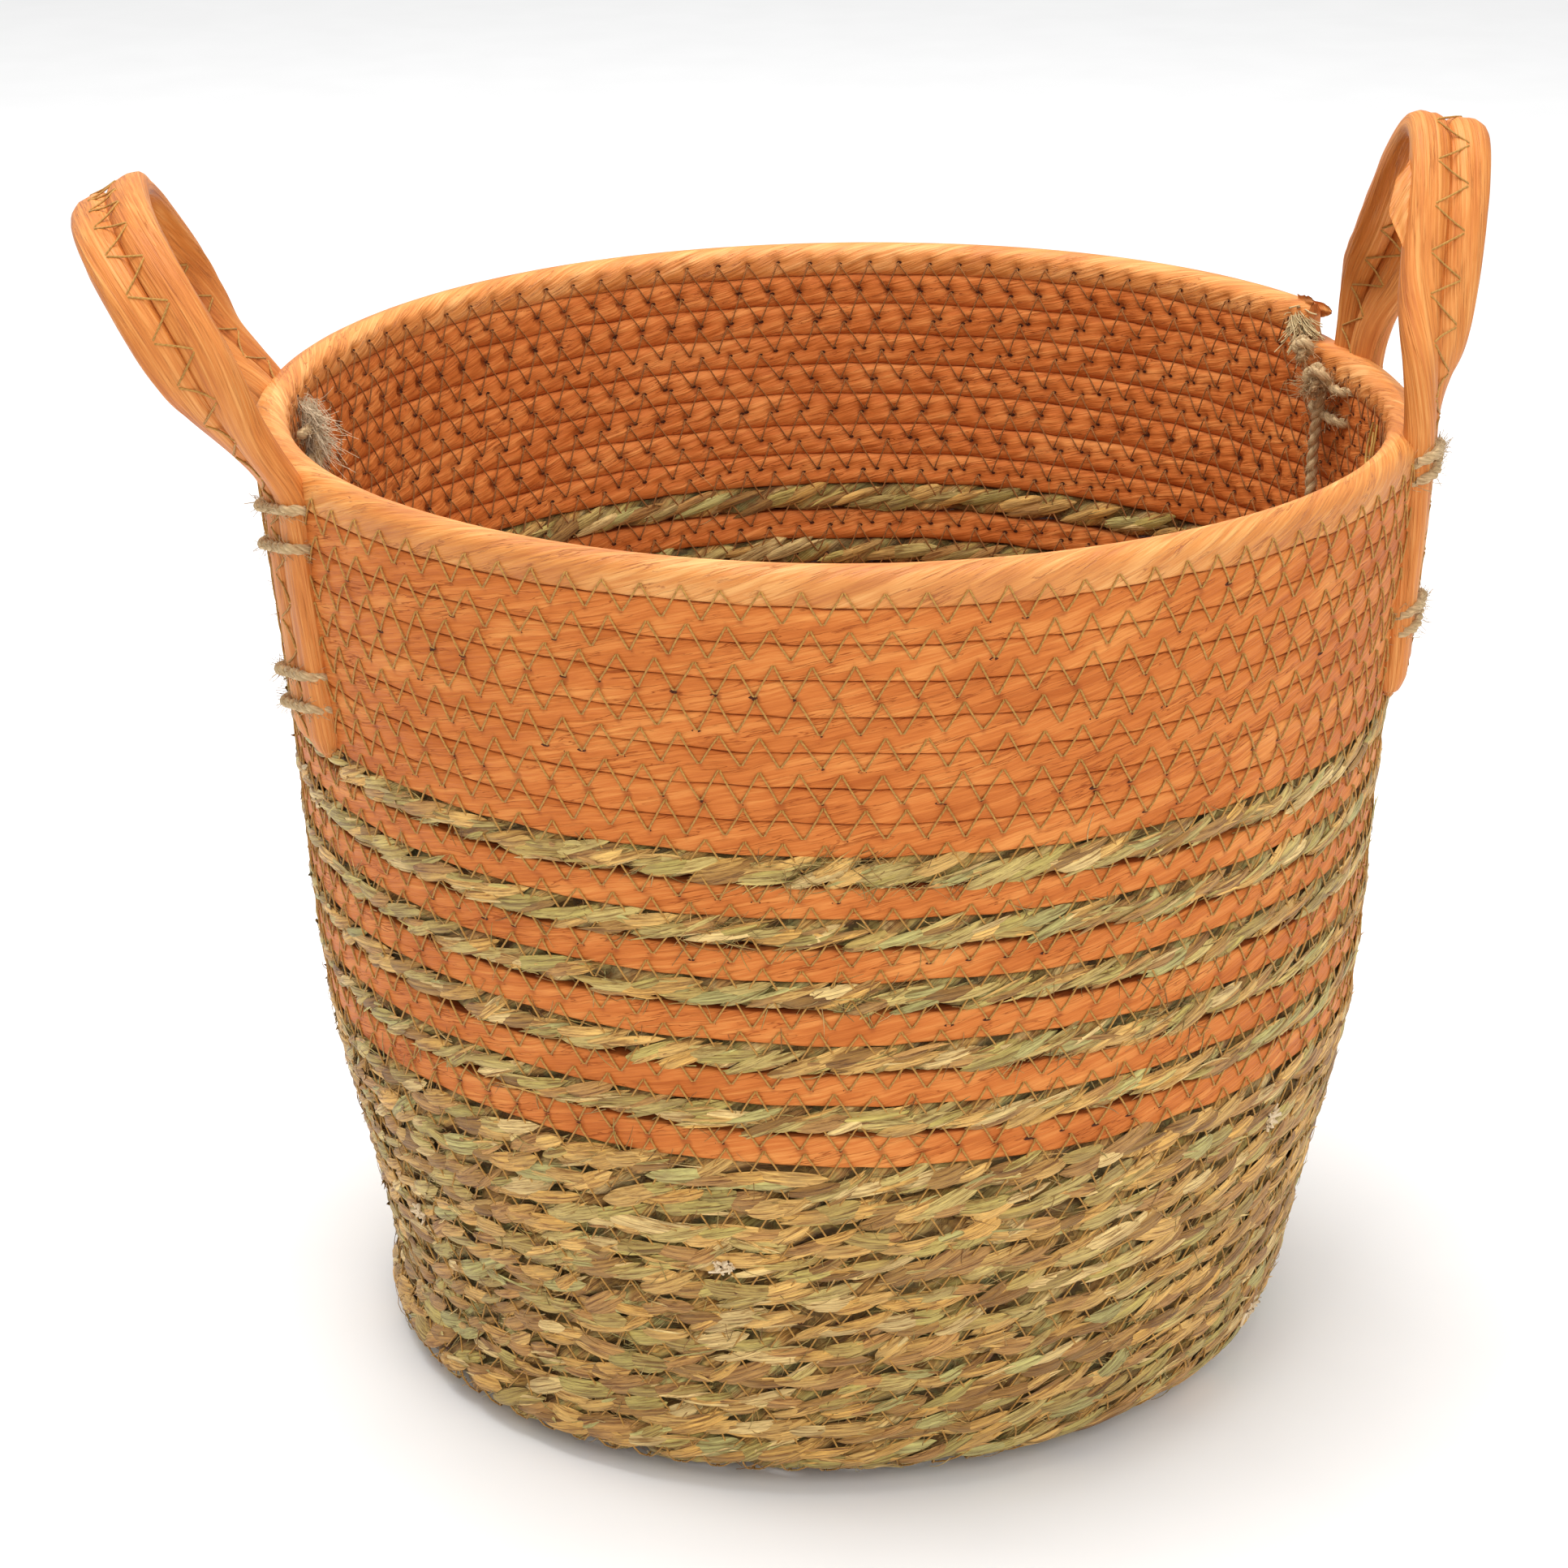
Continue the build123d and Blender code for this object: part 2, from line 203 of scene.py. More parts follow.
# ---- mesh helpers
class Soup:
    """Grids of points gathered into one mesh."""

    def __init__(self):
        self.points, self.faces, self.values, self.count = [], [], {}, 0

    def grids(self, p, around=False, **values):
        """Adds many grids at once: p is (many, along, across, 3) in mm."""
        p = np.asarray(p, float)
        if p.ndim == 3:
            p = p[None]
            values = {k: np.asarray(v)[None] for k, v in values.items()}
        k, n, m, _ = p.shape
        i = np.arange(k * n * m).reshape(k, n, m) + self.count
        j = np.roll(i, -1, 2)
        if not around:
            i, j = i[:, :, :-1], j[:, :, :-1]
        self.faces.append(np.stack([i[:, :-1], j[:, :-1], j[:, 1:], i[:, 1:]], -1).reshape(-1, 4))
        self.points.append(p.reshape(-1, 3))
        for name, v in values.items():
            v = np.asarray(v, float)
            self.values.setdefault(name, []).append(np.broadcast_to(v, (k, n, m, 3)).reshape(-1, 3))
        self.count += k * n * m

    def piece(self, name, material, body="basket"):
        """Makes the mesh object, in metres."""
        v = np.vstack(self.points) * 0.001
        f = np.vstack(self.faces)
        mesh = bpy.data.meshes.new(name)
        mesh.vertices.add(len(v))
        mesh.vertices.foreach_set("co", v.ravel().astype(np.float32))
        mesh.loops.add(f.size)
        mesh.loops.foreach_set("vertex_index", f.ravel().astype(np.int32))
        mesh.polygons.add(len(f))
        mesh.polygons.foreach_set("loop_start", np.arange(0, f.size, 4, dtype=np.int32))
        mesh.polygons.foreach_set("use_smooth", np.ones(len(f), bool))
        mesh.update(calc_edges=True)
        for key, parts in self.values.items():
            a = mesh.attributes.new(key, "FLOAT_VECTOR", "POINT")
            a.data.foreach_set("vector", np.vstack(parts).ravel().astype(np.float32))
        mesh.materials.append(material)
        obj = bpy.data.objects.new(name, mesh)
        bpy.context.scene.collection.objects.link(obj)
        if body:
            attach(obj, body)
        return obj


def vec(x, y, z):
    """Three broadcast values as a last axis of 3."""
    x, y, z = np.broadcast_arrays(x, y, z)
    return np.stack([x, y, z], -1)


def col(x):
    return np.asarray(x, float).reshape(-1, 1, 1)


def unit(v):
    return v / np.maximum(np.linalg.norm(v, axis=-1, keepdims=True), 1e-12)


def tubes(soup, lines, radius, sides, **values):
    """Round tubes along many lines: lines is (many, points, 3)."""
    lines = np.asarray(lines, float)
    t = unit(np.gradient(lines, axis=1))
    ref = np.where(np.abs(t[..., 2:3]) > 0.9, np.array([1.0, 0, 0]), np.array([0, 0, 1.0]))
    ref = np.broadcast_to(ref[:, :1], t.shape)
    a = unit(np.cross(t, ref))
    b = np.cross(t, a)
    phi = np.arange(sides) * TAU / sides
    radius = np.broadcast_to(radius, lines.shape[:2])[..., None]
    ring = np.cos(phi)[:, None] * a[:, :, None] + np.sin(phi)[:, None] * b[:, :, None]
    p = lines[:, :, None] + radius[..., None] * ring
    run = arc(lines)
    seed = rng.uniform(0, 50, len(lines))[:, None, None]
    ruv = vec(run[..., None], phi * radius, seed)
    soup.grids(p, around=True, ruv=ruv, **values)


def end_caps(soup, p, ruv, share, bulge=None, **values):
    """Closes both ends of a rope, flat or bulged along the directions given."""
    for row, sign in ((0, -1), (-1, 1)):
        ring = p[row]
        out = 0.0 if bulge is None else bulge[row] * sign
        mid = ring.mean(0) + out
        cap = np.stack([ring, mid + (ring - mid) * share + out * 0.6, mid + (ring - mid) * 0.02])[:: -sign]
        same = {k: np.broadcast_to(v[row], cap.shape) for k, v in values.items()}
        soup.grids(cap, around=True, ruv=np.broadcast_to(ruv[row], cap.shape), **same)


# ---- materials
def linear(*rgb):
    """Linear colour from 0-255 display values."""
    c = np.array(rgb, float) / 255
    return tuple(np.where(c < 0.04045, c / 12.92, ((c + 0.055) / 1.055) ** 2.4)) + (1.0,)


class Graph:
    """A short way to write a node material."""

    def __init__(self, name):
        self.mat = bpy.data.materials.new(name)
        self.mat.use_nodes = True
        self.nt = self.mat.node_tree
        self.nt.nodes.clear()
        self.bsdf = self.add("ShaderNodeBsdfPrincipled")
        out = self.add("ShaderNodeOutputMaterial")
        self.nt.links.new(self.bsdf.outputs[0], out.inputs[0])

    def add(self, kind, **props):
        node = self.nt.nodes.new(kind)
        for k, v in props.items():
            setattr(node, k, v)
        return node

    def put(self, socket, value):
        if isinstance(value, bpy.types.NodeSocket):
            self.nt.links.new(value, socket)
        else:
            socket.default_value = value

    def node(self, kind, inputs, **props):
        """Adds a node, with its inputs set or linked."""
        node = self.add(kind, **props)
        for key, value in inputs.items():
            self.put(node.inputs[key], value)
        return node.outputs

    def attr(self, name):
        return self.node("ShaderNodeAttribute", {}, attribute_name=name, attribute_type="GEOMETRY")["Vector"]

    def split(self, vector):
        return self.node("ShaderNodeSeparateXYZ", {0: vector})

    def join(self, x, y, z):
        return self.node("ShaderNodeCombineXYZ", {0: x, 1: y, 2: z})[0]

    def math(self, op, a, b=0.0, c=0.0):
        return self.node("ShaderNodeMath", {0: a, 1: b, 2: c}, operation=op)[0]

    def times(self, a, b):
        return self.math("MULTIPLY", a, b)

    def plus(self, a, b):
        return self.math("ADD", a, b)

    def noise(self, vector, scale=1.0, detail=2.0, rough=0.5, distortion=0.0):
        inputs = {"Vector": vector, "Scale": scale, "Detail": detail, "Roughness": rough, "Distortion": distortion}
        return self.node("ShaderNodeTexNoise", inputs)["Fac"]

    def grain(self, u, along, v, across, seed, *rest):
        """Noise with one scale along the rope and another across it."""
        return self.noise(self.join(self.times(u, along), self.times(v, across), seed), 1, *rest)

    def ramp(self, value, *stops):
        node = self.add("ShaderNodeValToRGB")
        self.put(node.inputs[0], value)
        e = node.color_ramp.elements
        while len(e) < len(stops):
            e.new(0.5)
        for item, (pos, color) in zip(e, stops):
            item.position = pos
            item.color = color if len(color) == 4 else tuple(color) + (1.0,)
        return node.outputs[0]

    def fade(self, value, low, high):
        """0 below low and 1 above high."""
        return self.node("ShaderNodeMapRange", {0: value, 1: low, 2: high}, interpolation_type="SMOOTHSTEP")[0]

    def mix(self, share, a, b, blend="MIX"):
        return self.node("ShaderNodeMix", {0: share, 6: a, 7: b}, data_type="RGBA", blend_type=blend)[2]

    def bump(self, height, strength, distance, **under):
        inputs = {"Strength": strength, "Distance": distance, "Height": height, **under}
        return self.node("ShaderNodeBump", inputs)[0]

    def done(self, color, rough, normal, specular=0.3, sheen=0.0):
        for key, value in (("Base Color", color), ("Roughness", rough), ("Normal", normal),
                           ("Specular IOR Level", specular), ("Sheen Weight", sheen), ("Sheen Roughness", 0.5)):
            self.put(self.bsdf.inputs[key], value)
        return self.mat


def start_material(name):
    """A new graph, with the place along the rope, the place round it and a seed."""
    g = Graph(name)
    return g, *g.split(g.attr("ruv"))


def paper_material(name, slant, tones, gloss=0.12, crease_shade=0.70, stretch=1.0):
    """Creased paper wound on the slant.

    ruv is the place along the rope, round it, and a seed. The painted-shading attribute holds the painted groove
    shade, the painted shade in the dents round the needle holes, and the painted light on the inside faces.
    """
    g, u, v, seed = start_material(name)
    groove_shade, hole, inside = g.split(g.attr("mark"))
    c = g.math("MULTIPLY_ADD", u, slant, v)
    folds = g.grain(u, 0.055 / stretch, c, 0.62 * stretch**0.6, seed, 3, 0.55, 0.35)
    ridge = g.math("ABSOLUTE", g.math("SUBTRACT", folds, 0.5))
    crease = g.math("SUBTRACT", 1.0, g.fade(ridge, 0.0, 0.020))
    patchy = g.grain(u, 0.05, c, 0.3, g.plus(seed, 9.0))
    crease = g.times(crease, g.fade(patchy, 0.42, 0.62))
    fine = g.grain(u, 0.12, c, 2.4, seed, 3, 0.55, 0.15)
    broad = g.grain(u, 0.03, c, 0.12, seed)
    tone = g.plus(g.times(fine, 0.30), g.plus(g.times(folds, 0.35),
                  g.times(broad, 0.35)))
    color = g.ramp(tone, *[(x, linear(*c)) for x, c in zip((0.36, 0.50, 0.64), tones)])
    # painted shade in the creases: the crease lines are darkened towards linear(142, 56, 14)
    color = g.mix(g.times(crease, crease_shade), color, linear(142, 56, 14))
    # painted shade: the seam mask darkens the grooves between turns towards linear(116, 42, 14), broken up along
    # the rope
    broken = g.fade(g.noise(g.join(g.times(u, 0.11), g.plus(seed, 3.0), 0.0), 1, 2), 0.34, 0.62)
    seam = g.times(g.fade(groove_shade, 0.3, 1.0), g.math("MULTIPLY_ADD", broken, 0.62, 0.2))
    color = g.mix(seam, color, linear(116, 42, 14))
    # painted shade in the dents round the needle holes, darkening towards linear(126, 54, 22)
    color = g.mix(g.times(g.fade(hole, 0.35, 1.1), 0.5), color, linear(126, 54, 22))
    # painted light: the inside faces are lightened by 20 to 30 percent to make up for the shade inside the basket
    color = g.mix(inside, color, (1.22, 1.20, 1.30, 1.0), "MULTIPLY")
    height = g.plus(folds, g.times(crease, -0.35))
    normal = g.bump(height, 0.55, 0.0012)
    normal = g.bump(fine, 0.35, 0.0004, Normal=normal)
    rough = g.ramp(fine, (0.3, (0.42, 0.42, 0.42)), (0.7, (0.6, 0.6, 0.6)))
    return g.done(color, rough, normal, gloss, 0.0)


def leaf_material(name):
    """Dried grass: ruv is along the leaf, across it, and a seed; tint is the leaf's own colour, with painted shade
    added on the grass ropes.
    """
    g, u, v, seed = start_material(name)
    tint = g.attr("tint")
    fibre = g.grain(u, 0.09, v, 1.5, seed, 4, 0.75, 0.5)
    patch = g.grain(u, 0.10, v, 0.25, g.plus(seed, 5.0))
    vein = g.ramp(fibre, (0.38, (0.40, 0.28, 0.15)), (0.46, (0.80, 0.72, 0.60)), (0.54, (1.05, 1.02, 0.96)),
                  (0.64, (1.30, 1.28, 1.12)))
    color = g.mix(1.0, tint, vein, "MULTIPLY")
    color = g.mix(g.times(g.fade(patch, 0.52, 0.75), 0.45), color, linear(150, 118, 72))
    normal = g.bump(fibre, 0.9, 0.0008)
    return g.done(color, 0.55, normal, 0.3, 0.08)


def twisted_material(name, dark, pale, pitch, wide):
    """Plied thread or twine: slanted plies from ruv."""
    g, u, v, seed = start_material(name)
    ply = g.math("SINE", g.plus(g.times(u, TAU / pitch), g.times(v, wide)))
    hair = g.grain(u, 0.6, v, 4.0, seed, 3, 0.6, 0.3)
    tone = g.plus(g.times(ply, 0.08), hair)
    color = g.ramp(tone, (0.25, linear(*dark)), (0.7, linear(*pale)))
    return g.done(color, 0.7, g.bump(tone, 0.6, 0.0003), 0.25, 0.1)


def plain_fibre_material(name, dark, pale, rough=0.7):
    """Plain fibres with a fine grain along them."""
    g, u, v, seed = start_material(name)
    hair = g.grain(u, 0.2, v, 3.0, seed, 3, 0.6, 0.2)
    color = g.ramp(hair, (0.3, linear(*dark)), (0.7, linear(*pale)))
    return g.done(color, rough, g.bump(hair, 0.6, 0.0004), 0.25, 0.05)


ORANGE = ((177, 92, 36), (203, 116, 53), (225, 147, 77))
# paler copy of the orange paper for the rim, also used for the torn paper: the highlight on its top painted in
PEACH_PAINTED_HIGHLIGHT = ((182, 105, 43), (210, 134, 63), (232, 169, 98))
# paler copy of the orange paper for the handles, which face up: painted highlight
AMBER_PAINTED_HIGHLIGHT = ((180, 99, 39), (208, 127, 57), (229, 160, 89))
wall_paper = paper_material("orange_paper_wall", 0.27, ORANGE)
rim_paper = paper_material("orange_paper_rim_painted_highlight", 0.40, PEACH_PAINTED_HIGHLIGHT, 0.42, 0.5)
strap_paper = paper_material("orange_paper_handle_painted_highlight", 0.06, AMBER_PAINTED_HIGHLIGHT, 0.3, 0.34, 2.4)
grass_mat = leaf_material("dried_grass")
thread_mat = twisted_material("sewing_thread_olive", (150, 104, 44), (194, 146, 70), 1.1, 3.0)
twine_mat = twisted_material("jute_twine_hairy", (150, 118, 76), (222, 192, 144), 2.4, 1.2)
# a darker, redder copy of the sewing thread for the inside of the basket: painted shade
shaded_thread_mat = twisted_material("sewing_thread_inside_painted_shade", (118, 66, 26), (176, 116, 54), 1.1, 3.0)
pith_mat = plain_fibre_material("cream_pith", (206, 176, 134), (240, 220, 186))
# a paler copy of the twine for the frayed tuft, which sits in shade: painted light
lit_tuft_mat = plain_fibre_material("frayed_jute_painted_light", (206, 178, 138), (246, 228, 196))
straw_mat = plain_fibre_material("pale_straw", (176, 146, 96), (232, 210, 160))
# dark colour for the needle holes: painted shade
hole_shade_mat = plain_fibre_material("needle_hole", (58, 26, 12), (84, 40, 20), 0.9)

PALETTE = np.array([linear(*c)[:3] for c in (
    (202, 182, 118), (222, 182, 112), (190, 146, 88), (190, 174, 104), (228, 202, 146),
    (176, 136, 76), (216, 172, 98), (190, 184, 124), (188, 164, 98), (158, 118, 62))])
STRIPE_WEIGHT = np.array([20, 16, 12, 12, 12, 7, 10, 9, 9, 4.0])
GRASS_WEIGHT = np.array([10, 20, 14, 8, 12, 9, 18, 5, 9, 7.0])


def pick_colors(count, weight, gen):
    chosen = PALETTE[gen.choice(len(PALETTE), count, p=weight / weight.sum())]
    return chosen * gen.uniform(0.82, 1.10, (count, 1)) * np.array([0.97, 0.92, 0.80])


# ---- places of the stitches, shared by thread, holes and puckers
STITCH_STEP = 4.1               # along the rope, in mm


def stitch_places():
    """Turns of the needle holes of the long zig-zag row, low ones and high ones in turn."""
    u, last = run_at(0.7), run_at(END_TURN - 1)
    stops = []
    while u < last:
        stops.append(u)
        u += STITCH_STEP * (1 + 0.07 * rng.uniform(-1, 1))
    return np.interp(np.array(stops), RUN, FINE)


STITCH = stitch_places()
LOW, HIGH = STITCH[0::2], STITCH[1::2]
REACH = 0.455                   # from the groove to a hole, in rope pitches
SKEW = 1.1 / STITCH_TURN        # the inside high points sit this far back, in turns


def hole_s(turn, low):
    """Length up the wall of a needle hole in the row above the rope at a turn."""
    pitch = edge(turn + 1) - edge(turn)
    sway = 0.05 * noise(turn * 90, 21)
    return edge(turn + 0.5) + pitch * (REACH + sway) * np.where(low, -1, 1)


def near(places, turn):
    """Distance in mm along the rope to the nearest of places."""
    i = np.clip(np.searchsorted(places, turn), 1, len(places) - 1)
    gap = np.minimum(np.abs(turn - places[i - 1]), np.abs(places[i] - turn))
    return gap * TAU * wall(edge(turn), 0)[0]


# places across a rope, closer together in the grooves
FRACTION = np.array([-1, -0.97, -0.91, -0.8, -0.58, -0.25, 0.08, 0.38, 0.66, 0.84, 0.93, 0.975, 1.0])


def paper_rope(soup, start, end, step=1.55):
    """Paper rope wound round the basket from one turn to another."""
    turn = turn_samples(start, end, step)
    u = run_at(turn)
    low = groove(turn - 1)
    rim = np.clip((turn - (END_TURN - 1)) / 0.02, 0, 1)[:, None]
    torn = 1 - 0.5 * np.clip((turn - (END_TURN - 0.016)) / 0.016, 0, 1)[:, None] ** 2
    high = groove(turn) * (1 - rim[:, 0]) + (edge(turn) + 4.25) * rim[:, 0]
    f = np.broadcast_to(FRACTION, (len(turn), len(FRACTION)))
    middle, half = (low + high) / 2, (high - low) / 2
    s = middle[:, None] + half[:, None] * f
    thick = HALF + 0.05 + 0.13 * noise(u / 17, 31)[:, None] + 0.07 * noise(u / 5, 32)[:, None]
    round_top = 0.96 * (1 - np.sqrt(np.clip(1 - np.clip(f, 0, 1) ** 2.1, 0, 1)))
    pucker_up = np.exp(-(near(LOW, turn) / 1.1) ** 2)[:, None]
    pucker_low = np.exp(-(near(HIGH, turn - 1) / 1.1) ** 2)[:, None]
    pucker_in = np.exp(-(near(HIGH, turn - 1 + SKEW) / 1.3) ** 2)[:, None]
    rows = []
    thick = thick * torn
    for side in (1, -1):
        dip = 0.62 * np.abs(f) ** 11 if side > 0 else 1.25 * np.abs(f) ** 3.4
        out = thick - dip * (1 - rim * (f > 0)) - thick * round_top * rim * (f > 0)
        d_low = s - hole_s(turn, True)[:, None]
        d_high = s - hole_s(turn - 1, False)[:, None]
        # dent shapes the puckers and also carries their painted shade into the colour
        dent = pucker_up * np.exp(-(d_low / 1.5) ** 2) * (turn < END_TURN - 1)[:, None]
        dent = dent + (0.8 * pucker_low if side > 0 else pucker_in) * np.exp(-(d_high / 1.5) ** 2)
        depth = 0.24 if side > 0 else 1.35
        # the last value is the painted groove shade, strongest at the rope's edges and left off the top of the rim
        rows.append((s, side * (out - depth * dent), dent, np.abs(f) ** 12 * (1 - rim * (f > 0))))
    s, out, dent, groove_shade = (np.concatenate([a, b[:, ::-1]], 1) for a, b in zip(*rows))
    p = place(turn[:, None], s, out)
    around = arc(p).mean(0)[None] - half[:, None]
    ruv = vec(u[:, None], around, np.floor(turn)[:, None] * 3.7)
    # channels: painted groove shade, painted dent shade, and a flag for the inside faces' painted light
    soup.grids(p, around=True, ruv=ruv, mark=vec(groove_shade, dent, np.repeat([0.0, 1.0], len(FRACTION))[None]))
    # the rope's ends take 0.6 of each channel: part painted groove and dent shade, part the inside's painted light
    end_caps(soup, p, ruv, 0.55, mark=np.full(p.shape, 0.6))


def grass_rope(soup, start, end, step, sides, weight, seed, chaos):
    """Two bundles of grass twisted together and pressed into the wall."""
    turn = turn_samples(start, end, step)
    u = run_at(turn)
    low, high = groove(turn - 1), groove(turn)
    low = np.where(turn < 1, np.minimum(low, edge(turn) - 2), low)
    middle, half = (low + high) / 2, (high - low) / 2
    phi = np.arange(sides) * TAU / sides
    twist = -TAU * (u / 30 + 0.22 * chaos * noise(u / 23, seed))
    offset, bundle = 0.46, 0.60
    reach = np.zeros((len(turn), sides))
    local = np.zeros_like(reach)
    strand = np.zeros_like(reach)
    for k in (0, 1):
        a = phi[None] - (twist[:, None] + k * math.pi)
        size = bundle * (1 + 0.10 * noise(u / 9 + 40 * k, seed + 1 + k))[:, None]
        inner = size**2 - (offset * np.sin(a)) ** 2
        r = offset * np.cos(a) + np.sqrt(np.clip(inner, 0.02, None))
        better = r > reach
        reach = np.where(better, r, reach)
        local = np.where(better, np.arctan2(np.sin(a), np.cos(a)), local)
        strand = np.where(better, k, strand)
    reach = reach / (offset + bundle)
    lumps = noise(u[:, None] / 2.4 + strand * 57 + local * 2.3, seed + 5)
    reach = reach * (1 + 0.045 * lumps + 0.03 * chaos * noise(u[:, None] / 1.1 + local * 5, seed + 6))
    square = 1 / np.maximum(np.abs(np.cos(phi)) ** 3.4 + np.abs(np.sin(phi)) ** 3.4, 1e-6) ** (1 / 3.4)
    o = (HALF + 0.15) * np.cos(phi) * square * reach
    s = middle[:, None] + (half[:, None] * 1.04) * np.sin(phi) * square * (0.72 + 0.28 * reach)
    p = place(turn[:, None], s, o)
    patch = (u[:, None] / 8.5 + strand * 31 + np.floor((local + 4) / 0.62) * 7.3)
    cell = np.floor(patch).astype(int)
    gen = np.random.default_rng(seed)
    colors = pick_colors(4096, weight, gen)
    tint = colors[cell % 4096]
    # painted shade: the tint is darkened in the hollows between the two twisted bundles
    shade = np.clip((reach - 0.66) / 0.3, 0.0, 1)[..., None]
    tint = tint * (0.64 + 0.36 * shade)
    ruv = vec(u[:, None] + 0 * local, local * 2.9 + strand * 11, seed + strand * 3.0)
    soup.grids(p, around=True, ruv=ruv, tint=tint)
    # the cut ends are drawn darker (tint times 0.7)
    end_caps(soup, p, ruv, 0.5, tint=tint * 0.7)


def leaves(soup, turn, s0, half, side, slope, length, width, lift, weight, gen, curl, crown=0.9, rows=(8, 5)):
    """Thin pointed leaves lying on the wall. All inputs are arrays, one value per leaf."""
    i = np.linspace(-1, 1, rows[0])[None, :, None]
    j = np.linspace(-1, 1, rows[1])[None, None, :]
    n = len(turn)
    outline = (1 - np.abs(i) ** 2.4) ** 0.75
    a = col(length) / 2 * i
    b = col(width) / 2 * j * outline + col(gen.uniform(-0.6, 0.6, n)) * i**2
    cos, sin = np.cos(col(slope)), np.sin(col(slope))
    along, up = a * cos - b * sin, a * sin + b * cos
    r = col(wall(edge(turn), 0)[0])
    t = col(turn) - along / (TAU * r)
    s = col(s0) + up
    bend = np.clip(np.abs(up) / col(half), 0, 1.6)
    o = (HALF - 0.55 + col(lift) + crown * (1 - i**2) + 0.62 * crown * outline * (1 - j**2)
         - 0.35 * np.minimum(bend, 1) ** 2)
    flick = col(gen.uniform(0, 1, n) ** 4 * curl)
    o = o + flick * np.clip(i, 0, 1) ** 2 * 2.2
    p = place(t, s, o * col(side))
    tint = np.broadcast_to(pick_colors(n, weight, gen)[:, None, None, :], p.shape)
    ruv = vec(a + 0 * b, b + 0 * a, col(gen.uniform(0, 99, n)) + 0 * a)
    soup.grids(p, ruv=ruv, tint=tint)


def scatter_leaves(soup, start, end, spacing, side, weight, seed, chaos, broad=1.0):
    gen = np.random.default_rng(seed)
    length = run_at(end) - run_at(start)
    n = int(length / spacing)
    u = run_at(start) + (np.arange(n) + gen.uniform(0, 1, n)) * spacing
    turn = np.interp(u, RUN, FINE)
    low, high = groove(turn - 1), groove(turn)
    half = (high - low) / 2
    s0 = (low + high) / 2 + half * gen.uniform(-0.3, 0.3, n) * (1 + chaos)
    slope = np.radians(gen.normal(17, 4 + 7 * chaos, n)) * side
    size = gen.uniform(13, 21, n) * gen.uniform(1 - 0.35 * chaos, 1, n)
    wide = broad * gen.uniform(2.2, 4.3, n) * gen.uniform(1 - 0.5 * chaos, 1, n)
    lift = gen.uniform(-0.15, 0.15 + 0.25 * chaos, n)
    leaves(soup, turn, s0, half, np.full(n, side), slope, size, wide, lift, weight, gen, 0.25 + 0.5 * chaos)
    n = int(n * (1.8 if side > 0 else 0.5))
    which = gen.integers(0, len(turn), n)
    leaves(soup, turn[which], s0[which] + gen.uniform(-1.5, 1.5, n), half[which], np.full(n, side),
           slope[which] + gen.normal(0, 0.13, n) * side, gen.uniform(6, 17, n),
           gen.uniform(0.4, 1.5, n), gen.uniform(0.35, 0.95, n), weight, gen, 0.9, 0.35, (6, 3))


def hairs(soup, start, end, count, side, seed, long=(4, 11), rise=1.6):
    """Stray grass fibres that stand a little off the wall."""
    gen = np.random.default_rng(seed)

    def draw(low, high):
        return gen.uniform(low, high, count)[:, None]

    turn = gen.uniform(start, end, count)
    t = np.linspace(0, 1, 6)[None]
    angle = np.radians(gen.normal(18, 38, count))[:, None]
    size = draw(*long)
    bow = draw(-1, 1) * 2.2
    r = wall(edge(turn), 0)[0][:, None]
    along = size * t * np.cos(angle) - bow * t * t * np.sin(angle)
    up = size * t * np.sin(angle) + bow * t * t * np.cos(angle)
    flip = np.where(gen.uniform(0, 1, count) < 0.5, 1, -1)[:, None]
    s = edge(turn)[:, None] + draw(-3.5, 3.5) + up * flip
    o = HALF + 0.1 + (draw(0.1, 1) ** 2) * rise * np.sin(t * 2.2)
    p = place(turn[:, None] - flip * along / (TAU * r), s, side * o)
    thin = draw(0.09, 0.19) * (1 - 0.6 * t)
    tint = pick_colors(count, STRIPE_WEIGHT, gen)[:, None, None, :]
    tubes(soup, p, thin, 3, tint=np.broadcast_to(tint, (count, 6, 3, 3)))


# ---- the coil
PAPER_STRIPES = [GRASS_TURNS + 2 * k for k in range(STRIPES)]
GRASS_STRIPES = [first + 1 for first in PAPER_STRIPES]

paper = Soup()
paper_rope(paper, UPPER, END_TURN - 1.0)
upper_wall = paper.piece("upper_paper_rope", wall_paper)
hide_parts("upper_rope_wrap", "upper_rope_core")

paper = Soup()
paper_rope(paper, END_TURN - 1.0, END_TURN, 1.25)
rim = paper.piece("rim_paper_rope", rim_paper)
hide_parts("rim_rope_wrap", "rim_rope_core")

paper = Soup()
for first in PAPER_STRIPES:
    paper_rope(paper, first, first + 1)
stripes = paper.piece("orange_paper_stripes", wall_paper)
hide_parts(*["orange_stripe_%s_%d" % (a, k) for a in ("wrap", "core") for k in range(1, 6)])

grass = Soup()
for k, first in enumerate(GRASS_STRIPES):
    grass_rope(grass, first, first + 1, 1.05, 24, STRIPE_WEIGHT, 100 + 10 * k, 0.4)
grass_stripes = grass.piece("grass_rope_stripes", grass_mat)
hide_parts(*["grass_stripe_rope_%d" % k for k in range(1, 6)])

grass = Soup()
for k, first in enumerate(GRASS_STRIPES):
    scatter_leaves(grass, first, first + 1, 4.2, 1, STRIPE_WEIGHT, 200 + k, 0.3)
    scatter_leaves(grass, first, first + 1, 6.5, -1, STRIPE_WEIGHT, 220 + k, 0.3)
stripe_leaves = grass.piece("grass_leaves_stripes", grass_mat)

